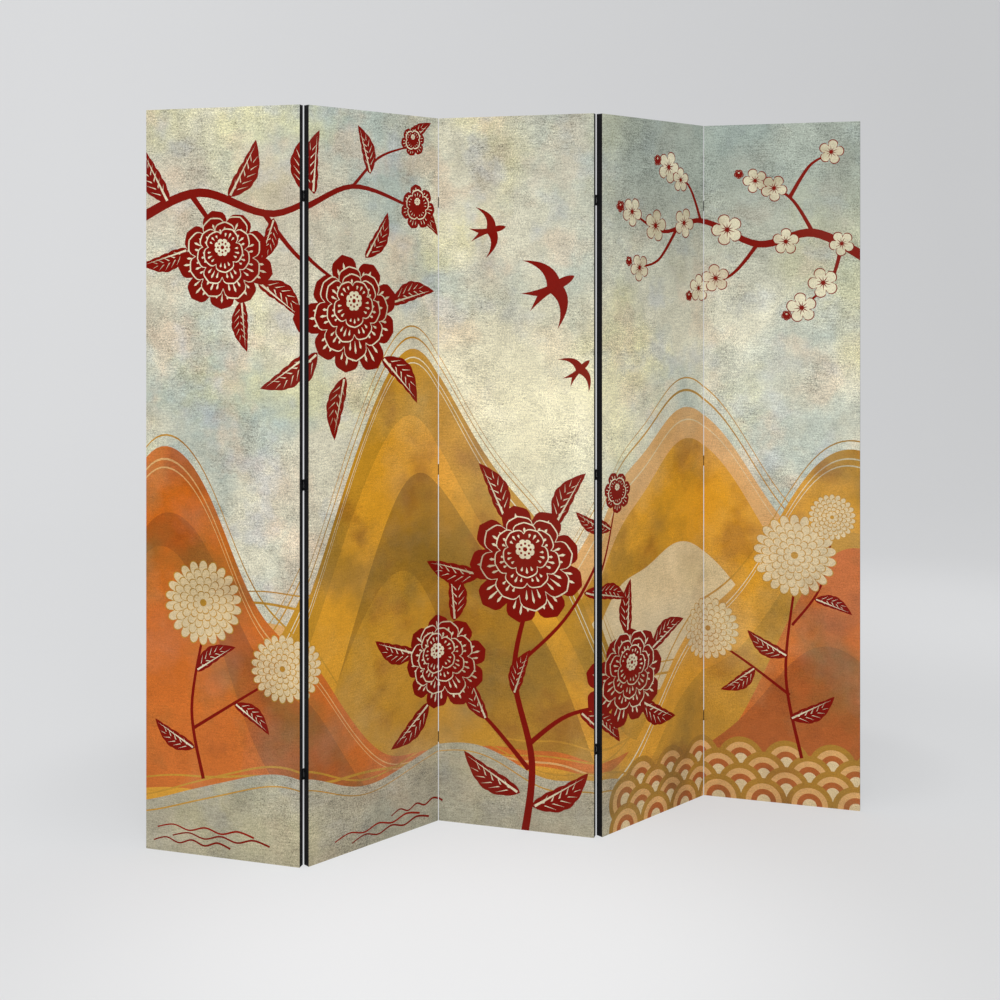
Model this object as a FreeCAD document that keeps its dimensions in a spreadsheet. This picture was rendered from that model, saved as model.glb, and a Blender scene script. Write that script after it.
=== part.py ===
import FreeCAD, Part
import math
import os
import Sketcher
from FreeCAD import Vector

# Folding room divider of five tall panels, standing in a zigzag.
# Each panel is a softwood frame: two stiles and three rails with stub tenons.
# A printed canvas covers the front. A black cloth covers the back and wraps the four edges.
# Neighbouring panels are joined by three two-way hinges, so each fold opens to either side.
# X runs along the zigzag, the printed fronts face -Y, Z is up and the floor is at Z = 0.
# The origin is on the floor, in the middle of the divider's outline.
# Every piece of a panel is drawn in the panel's own frame, from its lower front left corner.

# The sizes that can be set, in millimetres and degrees.
SIZES = {
    # panel
    "panel_width": 395,
    "panel_height": 1750,
    "panel_depth": 18,
    "canvas_thickness": 0.6,
    "cloth_thickness": 0.6,
    # frame
    "stile_width": 32,
    "rail_height": 32,
    "tenon_length": 18,
    "tenon_thickness": 6,
    "tenon_shoulder": 5,
    "mortise_clearance": 0.1,
    # stance
    "fold_angle": 60,
    "seam_gap": 2,
    # hinge
    "hinge_height": 26,
    "hinge_inset": 209,
    "pin_radius": 0.45,
    "pin_running_clearance": 0.05,
    "pin_end_overhang": 0.4,
    "knuckle_radius": 0.9,
    "leaf_knuckle_height": 7,
    "knuckle_side_clearance": 0.1,
    "knuckle_end_clearance": 0.1,
    "front_pin_offset": 0.2,
    "back_pin_offset": 1,
    "leaf_thickness": 0.5,
    "link_thickness": 0.8,
    # screws
    "screw_spacing": 14,
    "screw_length": 11,
    "screw_shank_radius": 1.25,
    "screw_head_radius": 2,
    "screw_hole_clearance": 0.1,
}

# What repeats.
COUNTS = {"rail_count": 3, "hinge_count": 3, "screw_count": 2, "leaf_knuckle_count": 2}

# Small round features are many-sided, to keep their hundreds of faces few.
KNUCKLE_SIDES = 8
PIN_SIDES = 12
SCREW_SIDES = 6

# The angle of a countersunk head's side to the screw, in degrees. A cone gets narrower inwards.
HEAD_TAPER = -45

PANEL_COUNT = 5

# The sizes and places that follow from those above.
FOLLOWING = {
    # frame of a panel
    "canvas_back": "-canvas_thickness",
    "frame_height": "panel_height - 2 * cloth_thickness",
    "frame_depth": "panel_depth - canvas_thickness - cloth_thickness",
    "frame_back": "panel_depth - cloth_thickness",
    "frame_right": "panel_width - cloth_thickness",
    "frame_top": "panel_height - cloth_thickness",
    "frame_middle": "canvas_thickness + frame_depth / 2",
    "left_stile_inside": "cloth_thickness + stile_width",
    "right_stile_inside": "panel_width - cloth_thickness - stile_width",
    "middle_rail_bottom": "panel_height / 2 - rail_height / 2",
    "top_rail_bottom": "frame_top - rail_height",
    "rail_travel": "frame_height - rail_height",
    # tenons and mortises
    "tenon_front": "frame_middle - tenon_thickness / 2",
    "tenon_back": "frame_middle + tenon_thickness / 2",
    "tenon_height": "rail_height - 2 * tenon_shoulder",
    "bottom_tenon": "cloth_thickness + tenon_shoulder",
    "middle_tenon": "middle_rail_bottom + tenon_shoulder",
    "top_tenon": "top_rail_bottom + tenon_shoulder",
    "tenon_left": "left_stile_inside - tenon_length",
    "tenon_right": "right_stile_inside + tenon_length",
    "mortise_depth": "tenon_length + mortise_clearance",
    "mortise_front": "tenon_front - mortise_clearance",
    "mortise_back": "tenon_back + mortise_clearance",
    "mortise_bottom": "bottom_tenon - mortise_clearance",
    "mortise_top": "mortise_bottom + tenon_height + 2 * mortise_clearance",
    # hinges, with the left leaf on a panel's right edge and the right leaf on a left edge
    "hinge_bottom": "hinge_inset - hinge_height / 2",
    "hinge_travel": "panel_height - 2 * hinge_inset",
    "leaf_knuckle_travel": "hinge_height - leaf_knuckle_height",
    "link_knuckle_bottom": "hinge_bottom + leaf_knuckle_height + knuckle_end_clearance",
    "link_knuckle_height": "leaf_knuckle_travel - leaf_knuckle_height - 2 * knuckle_end_clearance",
    "front_pin": "-front_pin_offset",
    "back_pin": "panel_depth + back_pin_offset",
    "plate_front": "front_pin + knuckle_radius + knuckle_side_clearance",
    "plate_back": "back_pin - knuckle_radius - knuckle_side_clearance",
    "right_edge_pin": "panel_width + seam_gap / 2",
    "left_edge_pin": "-seam_gap / 2",
    "right_edge_leaf": "panel_width + leaf_thickness",
    "left_edge_leaf": "-leaf_thickness",
    "ridge_link_left": "right_edge_pin - link_thickness / 2",
    "ridge_link_right": "right_edge_pin + link_thickness / 2",
    "valley_link_left": "left_edge_pin - link_thickness / 2",
    "valley_link_right": "left_edge_pin + link_thickness / 2",
    "link_bore_radius": "pin_radius + pin_running_clearance",
    "leaf_bore_corner": "pin_radius / cos(180 / knuckle_sides)",
    "link_bore_corner": "link_bore_radius / cos(180 / knuckle_sides)",
    "pin_bottom": "hinge_bottom - pin_end_overhang",
    "pin_height": "hinge_height + 2 * pin_end_overhang",
    # screws, which lie along X with their heads flush with the leaves
    "screw_bottom": "hinge_inset - screw_spacing / 2",
    "screw_middle": "panel_depth / 2",
    "screw_head_depth": "screw_head_radius - screw_shank_radius",
    "screw_shank_length": "screw_length - screw_head_depth",
    "right_shank_start": "right_edge_leaf - screw_head_depth",
    "left_shank_start": "left_edge_leaf + screw_head_depth",
    "screw_hole_depth": "screw_length - leaf_thickness - cloth_thickness + screw_hole_clearance",
    "cloth_hole_radius": "screw_head_radius - leaf_thickness + screw_hole_clearance",
    # zigzag: the turn of odd and even panels, then the lower front left corner of each
    "odd_turn": "-fold_angle / 2",
    "even_turn": "fold_angle / 2",
    "panel_run": "(panel_width + seam_gap) * cos(fold_angle / 2)",
    "ridge_step": "panel_run + 2 * back_pin * sin(fold_angle / 2)",
    "valley_step": "panel_run - 2 * front_pin * sin(fold_angle / 2)",
    "end_run": "panel_width * cos(fold_angle / 2) + panel_depth * sin(fold_angle / 2)",
    "zigzag_width": "2 * ridge_step + 2 * valley_step + end_run",
    "front_pin_reach": "knuckle_radius - front_pin * cos(fold_angle / 2)",
    "front_reach": "right_edge_pin * sin(fold_angle / 2) + front_pin_reach",
    "back_pin_reach": "knuckle_radius + back_pin * cos(fold_angle / 2)",
    "back_reach": "back_pin_reach - left_edge_pin * sin(fold_angle / 2)",
    "panel_1_x": "-zigzag_width / 2",
    "panel_2_x": "panel_1_x + ridge_step",
    "panel_3_x": "panel_2_x + valley_step",
    "panel_4_x": "panel_3_x + ridge_step",
    "panel_5_x": "panel_4_x + valley_step",
    "odd_panel_y": "(front_reach - back_reach) / 2",
    "even_panel_y": "odd_panel_y - panel_width * sin(fold_angle / 2)",
}

doc = FreeCAD.newDocument("RoomDivider")
sheet = doc.addObject("Spreadsheet::Sheet", "Sizes")
set_by_hand = {**SIZES, **COUNTS, "knuckle_sides": KNUCKLE_SIDES}
for row, alias in enumerate([*set_by_hand, *FOLLOWING], start=1):
    cell = f"B{row}"
    sheet.set(f"A{row}", alias)
    sheet.set(cell, str(set_by_hand[alias]) if alias in set_by_hand else "=" + FOLLOWING[alias])
    sheet.setAlias(cell, alias)
doc.recompute()


def size(alias):
    """The value that the sheet gives a name."""
    value = getattr(sheet, alias)
    return float(getattr(value, "Value", value))


def bind(thing, prop, alias):
    """Ties a property to a name in the sheet."""
    thing.setExpression(prop, "Sizes." + alias)


def origin_item(body, role):
    """One of a body's own origin planes or axes."""
    return next(item for item in body.Origin.OriginFeatures if item.Role == role)


def new_sketch(body, role, offset=None):
    """A sketch on one of the body's origin planes, moved along the plane's normal."""
    sketch = body.newObject("Sketcher::SketchObject", "Sketch")
    sketch.AttachmentSupport = [(origin_item(body, role), "")]
    sketch.MapMode = "FlatFace"
    if offset:
        bind(sketch, "AttachmentOffset.Base.z", offset)
    return sketch


def hold(sketch, kind, geometry, point, alias):
    """Dimensions a point across or up from the sketch's origin, or ties it to an axis."""
    if alias is None:
        axis = -2 if kind == "DistanceX" else -1
        sketch.addConstraint(Sketcher.Constraint("PointOnObject", geometry, point, axis))
        return
    constraint = Sketcher.Constraint(kind, -1, 1, geometry, point, size(alias))
    index = sketch.addConstraint(constraint)
    bind(sketch, f"Constraints[{index}]", alias)


def refresh(*items):
    """Works out only the objects that have just been made."""
    doc.recompute(list(items), True)


def outline(sketch, corners):
    """A closed outline through corners, each a pair of names across and up."""
    points = [Vector(*(size(name) if name else 0 for name in corner)) for corner in corners]
    for index, start in enumerate(points):
        end = points[(index + 1) % len(points)]
        sketch.addGeometry(Part.LineSegment(start, end), False)
    first = sketch.GeometryCount - len(points)
    for index, (across, up) in enumerate(corners):
        following = first + (index + 1) % len(points)
        meet = Sketcher.Constraint("Coincident", first + index, 2, following, 1)
        sketch.addConstraint(meet)
        hold(sketch, "DistanceX", first + index, 1, across)
        hold(sketch, "DistanceY", first + index, 1, up)


def rectangle(sketch, left, low, right, high):
    """A rectangle between named places, where None is the sketch's own axis."""
    outline(sketch, [(left, low), (right, low), (right, high), (left, high)])


def many_sided(sketch, across, up, corner_radius, sides):
    """A regular outline whose corners lie on a circle, with its first side level."""
    centre = Vector(size(across), size(up))
    radius = size(corner_radius)
    first = sketch.GeometryCount
    start = math.pi / 2 - math.pi / sides
    angles = [start + 2 * math.pi * corner / sides for corner in range(sides + 1)]
    corners = [centre + Vector(math.cos(a), math.sin(a)) * radius for a in angles]
    for begin, end in zip(corners, corners[1:]):
        sketch.addGeometry(Part.LineSegment(begin, end), False)
    guide = sketch.addGeometry(Part.Circle(centre, Vector(0, 0, 1), radius), True)
    for side in range(sides):
        line, following = first + side, first + (side + 1) % sides
        sketch.addConstraint(Sketcher.Constraint("Coincident", line, 2, following, 1))
        sketch.addConstraint(Sketcher.Constraint("PointOnObject", line, 1, guide))
        if side:
            sketch.addConstraint(Sketcher.Constraint("Equal", first, line))
    sketch.addConstraint(Sketcher.Constraint("Horizontal", first))
    hold(sketch, "DistanceX", guide, 3, across)
    hold(sketch, "DistanceY", guide, 3, up)
    tie = sketch.addConstraint(Sketcher.Constraint("Radius", guide, radius))
    bind(sketch, f"Constraints[{tie}]", corner_radius)


def shape_with(body, kind, sketch, **settings):
    """Adds a sketched feature, and makes sure that the solid grew or shrank by it."""
    before = body.Shape.Volume if body.Tip else 0
    feature = body.newObject(f"PartDesign::{kind}", kind)
    feature.Profile = sketch
    for prop, value in settings.items():
        if prop == "Length":
            bind(feature, prop, value)
        else:
            setattr(feature, prop, value)
    refresh(sketch, feature, body)
    change = body.Shape.Volume - before
    if change == 0 or (change > 0) != (kind == "Pad"):
        raise RuntimeError(f"{body.Label}: {kind} changed the volume by {change}")
    return feature


def pad(body, sketch, length, backwards=False, taper=0):
    """Solid along the sketch's normal, or against it."""
    settings = {"Length": length, "Reversed": backwards, "TaperAngle": taper}
    return shape_with(body, "Pad", sketch, **settings)


def pocket(body, sketch, depth, forwards=False, taper=0):
    """A cut against the sketch's normal, or along it."""
    settings = {"Length": depth, "Reversed": forwards, "TaperAngle": taper}
    return shape_with(body, "Pocket", sketch, **settings)


def repeat(body, features, travel, count, second_travel=None, second_count=None):
    """Repeats features upwards, or the whole body where no feature is given."""
    pattern = body.newObject("PartDesign::LinearPattern", "LinearPattern")
    pattern.TransformMode = "Features" if features else "Whole shape"
    pattern.Refine = False
    pattern.Originals = features
    upwards = (origin_item(body, "Z_Axis"), [""])
    pattern.Direction = upwards
    bind(pattern, "Length", travel)
    bind(pattern, "Occurrences", count)
    if second_travel:
        pattern.Direction2 = upwards
        bind(pattern, "Length2", second_travel)
        bind(pattern, "Occurrences2", second_count)
    body.Tip = pattern
    refresh(pattern, body)
    return pattern


class Panel:
    """One panel: its number, its stance and the edges that carry hinges."""

    def __init__(self, number):
        self.number = number
        stance = "even" if number % 2 == 0 else "odd"
        self.place = (f"{stance}_turn", f"panel_{number}_x", f"{stance}_panel_y")
        self.hinged = {"left": number > 1, "right": number < PANEL_COUNT}

    def body(self, piece):
        """A new body named after the panel and placed with it."""
        return self.carried(f"panel_{self.number}_{piece}")

    def carried(self, label):
        """A new body that stands where the panel stands."""
        body = doc.addObject("PartDesign::Body", label)
        body.Label = label
        for prop, alias in zip(("Rotation.Angle", "Base.x", "Base.y"), self.place):
            bind(body, f"Placement.{prop}", alias)
        return body

    def stile(self, side):
        """An upright with a mortise for each rail and pilot holes for the hinge screws."""
        body = self.body(f"{side}_stile")
        outside = {"left": "cloth_thickness", "right": "frame_right"}[side]
        inside = f"{side}_stile_inside"
        left, right = sorted((outside, inside), key=size)
        section = new_sketch(body, "XY_Plane", "cloth_thickness")
        rectangle(section, left, "canvas_thickness", right, "frame_back")
        pad(body, section, "frame_height")
        slot = new_sketch(body, "YZ_Plane", inside)
        rectangle(slot, "mortise_front", "mortise_bottom", "mortise_back", "mortise_top")
        mortise = pocket(body, slot, "mortise_depth", forwards=side == "right")
        repeat(body, [mortise], "rail_travel", "rail_count")
        if self.hinged[side]:
            self.screw_holes(body, side, outside, "screw_shank_radius", "screw_hole_depth")

    def screw_holes(self, body, side, face, radius, depth):
        """Round holes into one edge, a pair for each hinge."""
        spot = new_sketch(body, "YZ_Plane", face)
        many_sided(spot, "screw_middle", "screw_bottom", radius, SCREW_SIDES)
        hole = pocket(body, spot, depth, forwards=side == "left")
        self.at_each_screw(body, hole)

    def at_each_screw(self, body, feature):
        """Repeats a feature at both screws of each hinge."""
        travel = ("screw_spacing", "screw_count", "hinge_travel", "hinge_count")
        repeat(body, [feature], *travel)

    def rail(self, level, bottom):
        """A cross rail with a stub tenon at each end."""
        body = self.body(f"{level}_rail")
        section = new_sketch(body, "XY_Plane", bottom)
        ends = ("left_stile_inside", "canvas_thickness", "right_stile_inside", "frame_back")
        rectangle(section, *ends)
        pad(body, section, "rail_height")
        tongue = new_sketch(body, "XY_Plane", f"{level}_tenon")
        rectangle(tongue, "tenon_left", "tenon_front", "tenon_right", "tenon_back")
        pad(body, tongue, "tenon_height")

    def front_canvas(self):
        """The printed canvas, stretched flat over the whole front."""
        body = self.body("front_canvas")
        section = new_sketch(body, "XY_Plane")
        rectangle(section, None, None, "panel_width", "canvas_thickness")
        pad(body, section, "panel_height")

    def back_cloth(self):
        """The black cloth: the back and the four edges that it wraps."""
        body = self.body("back_cloth")
        section = new_sketch(body, "XY_Plane")
        rectangle(section, None, "canvas_thickness", "panel_width", "panel_depth")
        pad(body, section, "panel_height")
        hollow = new_sketch(body, "XZ_Plane", "canvas_back")
        rectangle(hollow, "cloth_thickness", "cloth_thickness", "frame_right", "frame_top")
        pocket(body, hollow, "frame_depth")
        if self.hinged["right"]:
            self.screw_holes(body, "right", "panel_width", "cloth_hole_radius", "cloth_thickness")
        if self.hinged["left"]:
            self.screw_holes(body, "left", None, "cloth_hole_radius", "cloth_thickness")

    def screws(self):
        """Countersunk screws through the leaves into the stiles."""
        body = self.body("hinge_screws")
        for side in ("left", "right"):
            if not self.hinged[side]:
                continue
            inwards = side == "right"
            head = new_sketch(body, "YZ_Plane", f"{side}_edge_leaf")
            many_sided(head, "screw_middle", "screw_bottom", "screw_head_radius", SCREW_SIDES)
            cone = pad(body, head, "screw_head_depth", inwards, HEAD_TAPER)
            self.at_each_screw(body, cone)
            section = new_sketch(body, "YZ_Plane", f"{side}_shank_start")
            many_sided(section, "screw_middle", "screw_bottom", "screw_shank_radius", SCREW_SIDES)
            shank = pad(body, section, "screw_shank_length", inwards)
            self.at_each_screw(body, shank)

    def leaf(self, fold, side):
        """Outer leaf of a fold's three hinges, screwed to this panel's edge.

        A leaf on a right edge turns on the front pins, and one on a left edge on the back pins.
        """
        on_right = side == "right"
        body = self.carried(f"fold_{fold}_{'left' if on_right else 'right'}_leaves")
        across = ("panel_width", "right_edge_leaf") if on_right else ("left_edge_leaf", None)
        plate = new_sketch(body, "XY_Plane", "hinge_bottom")
        rectangle(plate, across[0], "plate_front", across[1], "plate_back")
        pad(body, plate, "hinge_height")
        seat = new_sketch(body, "YZ_Plane", f"{side}_edge_leaf")
        many_sided(seat, "screw_middle", "screw_bottom", "screw_head_radius", SCREW_SIDES)
        hole = pocket(body, seat, "leaf_thickness", not on_right, HEAD_TAPER)
        repeat(body, [hole], "screw_spacing", "screw_count")
        tab = new_sketch(body, "XY_Plane", "hinge_bottom")
        tab_span = ("front_pin", "plate_front") if on_right else ("plate_back", "back_pin")
        rectangle(tab, across[0], tab_span[0], across[1], tab_span[1])
        barrel = new_sketch(body, "XY_Plane", "hinge_bottom")
        pin = (f"{side}_edge_pin", "front_pin" if on_right else "back_pin")
        many_sided(barrel, *pin, "knuckle_radius", KNUCKLE_SIDES)
        height = "leaf_knuckle_height"
        knuckle = [pad(body, tab, height), pad(body, barrel, height)]
        repeat(body, knuckle, "leaf_knuckle_travel", "leaf_knuckle_count")
        bore = new_sketch(body, "XY_Plane", "hinge_bottom")
        many_sided(bore, *pin, "leaf_bore_corner", KNUCKLE_SIDES)
        pocket(body, bore, "hinge_height", forwards=True)
        repeat(body, [], "hinge_travel", "hinge_count")

    def link(self, fold, side):
        """Middle plate of a fold's three hinges, with knuckles for both pins."""
        body = self.carried(f"fold_{fold}_links")
        form = "ridge" if side == "right" else "valley"
        left, right = f"{form}_link_left", f"{form}_link_right"
        plate = new_sketch(body, "XY_Plane", "hinge_bottom")
        rectangle(plate, left, "plate_front", right, "plate_back")
        pad(body, plate, "hinge_height")
        tabs = new_sketch(body, "XY_Plane", "link_knuckle_bottom")
        rectangle(tabs, left, "front_pin", right, "plate_front")
        rectangle(tabs, left, "plate_back", right, "back_pin")
        barrels = new_sketch(body, "XY_Plane", "link_knuckle_bottom")
        bores = new_sketch(body, "XY_Plane", "hinge_bottom")
        for pin in ("front_pin", "back_pin"):
            axis = (f"{side}_edge_pin", pin)
            many_sided(barrels, *axis, "knuckle_radius", KNUCKLE_SIDES)
            many_sided(bores, *axis, "link_bore_corner", KNUCKLE_SIDES)
        pad(body, tabs, "link_knuckle_height")
        pad(body, barrels, "link_knuckle_height")
        pocket(body, bores, "hinge_height", forwards=True)
        repeat(body, [], "hinge_travel", "hinge_count")

    def pins(self, fold, side):
        """The pins that are fixed in this panel's leaves at a fold."""
        face = "front" if side == "right" else "back"
        body = self.carried(f"fold_{fold}_{face}_pins")
        section = new_sketch(body, "XY_Plane", "pin_bottom")
        axis = (f"{side}_edge_pin", f"{face}_pin")
        many_sided(section, *axis, "pin_radius", PIN_SIDES)
        pad(body, section, "pin_height")
        repeat(body, [], "hinge_travel", "hinge_count")

    def build(self):
        """Every piece of the panel itself."""
        for side in ("left", "right"):
            self.stile(side)
        rails = {"bottom": "cloth_thickness", "middle": "middle_rail_bottom", "top": "top_rail_bottom"}
        for level, bottom in rails.items():
            self.rail(level, bottom)
        self.front_canvas()
        self.back_cloth()
        self.screws()


panels = [Panel(number) for number in range(1, PANEL_COUNT + 1)]
for panel in panels:
    panel.build()

# An odd fold is a ridge, which opens at its back pins and keeps its links on the left panel.
# An even fold is a valley, which opens at its front pins and keeps its links on the right one.
for fold, (left_panel, right_panel) in enumerate(zip(panels, panels[1:]), start=1):
    left_panel.leaf(fold, "right")
    left_panel.pins(fold, "right")
    right_panel.leaf(fold, "left")
    right_panel.pins(fold, "left")
    if fold % 2:
        left_panel.link(fold, "right")
    else:
        right_panel.link(fold, "left")

doc.recompute()
failed = [item.Name for item in doc.Objects if {"Invalid", "Error"} & set(item.State)]
if failed:
    raise RuntimeError(f"these objects failed: {failed}")
pieces = [item for item in doc.Objects if item.TypeId == "PartDesign::Body"]
for piece in pieces:
    if piece.Shape.isNull() or not piece.Shape.isValid():
        raise RuntimeError(f"{piece.Label} has no valid shape")

os.makedirs("parts", exist_ok=True)
for piece in pieces:
    piece.Shape.exportStep(f"parts/{piece.Label}.step")
whole = FreeCAD.BoundBox()
for piece in pieces:
    whole.add(piece.Shape.BoundBox)
print(len(pieces), "pieces,", sum(len(piece.Shape.Solids) for piece in pieces), "solids")
print("outline", whole)
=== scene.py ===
"""A folding room divider of five canvas-covered panels, standing in a zigzag on a pale studio floor.

The frames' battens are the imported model's own and only get their finish here. The printed canvas on each
front, the black cloth on each back, the hinges and their screws are made here. Each of them stands for the
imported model's plainer piece. The floor, the lamps and the camera are made here too.
"""

from __future__ import annotations

import logging
import math
import random
from abc import ABC, abstractmethod
from dataclasses import dataclass
from enum import Enum
from typing import Any, Iterator

import bmesh
import bpy
from mathutils import Matrix, Vector
from mathutils.geometry import delaunay_2d_cdt


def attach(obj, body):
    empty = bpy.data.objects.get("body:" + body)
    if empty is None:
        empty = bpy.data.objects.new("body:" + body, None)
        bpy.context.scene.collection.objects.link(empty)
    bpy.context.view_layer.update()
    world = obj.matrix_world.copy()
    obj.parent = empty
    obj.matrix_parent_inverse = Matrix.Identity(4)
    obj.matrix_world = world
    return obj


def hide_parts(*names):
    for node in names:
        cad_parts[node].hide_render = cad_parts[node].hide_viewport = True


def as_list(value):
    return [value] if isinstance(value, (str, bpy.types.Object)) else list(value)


logging.basicConfig(level=logging.INFO, format="%(message)s")
log = logging.getLogger("room_divider")

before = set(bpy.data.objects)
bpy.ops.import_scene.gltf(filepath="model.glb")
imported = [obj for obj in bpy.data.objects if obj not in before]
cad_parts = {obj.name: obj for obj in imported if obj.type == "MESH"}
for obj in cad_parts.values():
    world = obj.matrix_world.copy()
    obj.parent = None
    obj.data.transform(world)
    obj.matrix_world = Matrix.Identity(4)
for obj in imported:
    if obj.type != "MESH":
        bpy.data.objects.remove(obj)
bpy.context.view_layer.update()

# one millimetre, in metres
MM = 0.001
PANEL_COUNT = 5
# how many millimetres the front pins stand behind the front faces, and the back pins behind the back ones
FRONT_PIN = -0.2
BACK_PIN = 1.0
SHARP_ANGLE = math.radians(35)
# each screw's cross is left at its own angle: how much it differs from level to level and from half to half
LEVEL_TURN = 1.1
HALF_TURN = 0.7
# how many waves the wave texture draws over a length of tau at a scale of 1
WAVES_PER_TURN = 20

Point = tuple[float, float]
Material = bpy.types.Material
Mesh = bmesh.types.BMesh
Piece = bpy.types.Object
Tree = bpy.types.NodeTree


def linear(hex_colour: str) -> tuple[float, float, float, float]:
    """Turns an sRGB colour into the linear one that a shader takes.

    Args:
        hex_colour: Six hex digits, red first.

    Returns:
        Red, green, blue and an alpha of 1, in linear light.
    """
    channels = [int(hex_colour[i : i + 2], 16) / 255 for i in (0, 2, 4)]
    bent = [c / 12.92 if c <= 0.04045 else ((c + 0.055) / 1.055) ** 2.4 for c in channels]
    return bent[0], bent[1], bent[2], 1.0


def feed(tree: Tree, node: Any, inputs: dict[Any, Any]) -> None:
    """Gives a node's sockets values or other nodes' outputs, by the socket's name or number."""
    for key, value in inputs.items():
        if isinstance(value, bpy.types.NodeSocket):
            tree.links.new(value, node.inputs[key])
        else:
            node.inputs[key].default_value = value


def add_node(tree: Tree, kind: str, inputs: dict[Any, Any] | None = None, **settings: Any) -> Any:
    """Adds one node to a node tree.

    Args:
        tree: The material's or the world's node tree.
        kind: The node's type.
        inputs: Values or other nodes' outputs, by the socket's name or number.
        settings: The node's own settings.

    Returns:
        The new node.
    """
    node = tree.nodes.new(kind)
    for name, value in settings.items():
        setattr(node, name, value)
    feed(tree, node, inputs or {})
    return node


class Ink(Enum):
    """The print's inks: an sRGB colour, and how strongly the aged paper shows through."""

    PARCHMENT = ("D2CDB6", 1.0)
    MIST = ("BDB7A3", 1.0)
    ORANGE = ("CB681C", 0.45)
    BURNT_ORANGE = ("AE571A", 0.45)
    OCHRE = ("C28C24", 0.45)
    BRIGHT_OCHRE = ("D99A28", 0.45)
    DARK_OCHRE = ("AB7A1E", 0.45)
    PEACH = ("DCA766", 0.5)
    CREAM = ("DFC79B", 0.5)
    PALE_CREAM = ("E3DABB", 0.4)
    DARK_RED = ("7C0D03", 0.16)
    RED = ("8E1606", 0.16)
    SELVAGE = ("0E0D0F", 0.0)

    @property
    def corner_value(self) -> tuple[float, float, float, float]:
        """The linear colour, with the paper's strength as its alpha."""
        return *linear(self.value[0])[:3], self.value[1]


@dataclass(frozen=True)
class Shape:
    """One flat patch of ink: a closed outline on the strip, in millimetres."""

    outline: tuple[Point, ...]
    ink: Ink

    def sides(self) -> Iterator[tuple[Point, Point]]:
        """The ends of each side, in order."""
        return zip(self.outline, self.outline[1:] + self.outline[:1])

    def turned_left(self) -> tuple[Point, ...]:
        """The outline in the direction that gives it a positive area."""
        area = sum(a[0] * b[1] - b[0] * a[1] for a, b in self.sides())
        return self.outline if area > 0 else self.outline[::-1]

    def span(self) -> tuple[float, float]:
        """The least and greatest place across the strip."""
        across = [point[0] for point in self.outline]
        return min(across), max(across)

    def holds(self, u: float, v: float) -> bool:
        """Whether a place on the strip lies inside the outline."""
        inside = False
        for (ax, ay), (bx, by) in self.sides():
            if (ay > v) != (by > v) and u < ax + (v - ay) / (by - ay) * (bx - ax):
                inside = not inside
        return inside


def polar(centre: Point, radius: float, angle: float) -> Point:
    """The point at a distance and an angle from a centre."""
    return centre[0] + radius * math.cos(angle), centre[1] + radius * math.sin(angle)


def disc(centre: Point, radius: float, sides: int) -> tuple[Point, ...]:
    """The outline of a round with so many sides."""
    return tuple(polar(centre, radius, math.tau * k / sides) for k in range(sides))


def smooth_path(points: list[Point], steps: int = 8) -> list[Point]:
    """Runs a smooth curve through a few points.

    Args:
        points: The points that the curve passes.
        steps: How many pieces each stretch is cut into.

    Returns:
        Points along the curve.
    """

    def at(t: float, a: float, b: float, c: float, d: float) -> float:
        """One coordinate at a share of the way from b to c, between their neighbours a and d."""
        return 0.5 * (2 * b + (c - a) * t + (2 * a - 5 * b + 4 * c - d) * t * t
                      + (3 * b - a - 3 * c + d) * t**3)

    ends = [points[0], *points, points[-1]]
    path: list[Point] = []
    for near in zip(ends, ends[1:], ends[2:], ends[3:]):
        path += [tuple(at(step / steps, *line) for line in zip(*near)) for step in range(steps)]
    return [*path, points[-1]]


def ribbon(path: list[Point], start: float, end: float) -> tuple[Point, ...]:
    """Gives a path a width that changes evenly from one end to the other.

    Args:
        path: Points along the middle.
        start: Width at the first point.
        end: Width at the last point.

    Returns:
        The ribbon's outline.
    """
    left: list[Point] = []
    right: list[Point] = []
    for k, (x, y) in enumerate(path):
        before, after = path[max(k - 1, 0)], path[min(k + 1, len(path) - 1)]
        run = (after[0] - before[0], after[1] - before[1])
        half = (start + (end - start) * k / (len(path) - 1)) / 2 / max(math.hypot(*run), 1e-6)
        left.append((x - run[1] * half, y + run[0] * half))
        right.append((x + run[1] * half, y - run[0] * half))
    return tuple(left + right[::-1])


class Motif(ABC):
    """Something that the print shows, made of patches of ink from the back to the front."""

    @abstractmethod
    def shapes(self) -> Iterator[Shape]:
        """The motif's patches, the hindmost first."""


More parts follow.
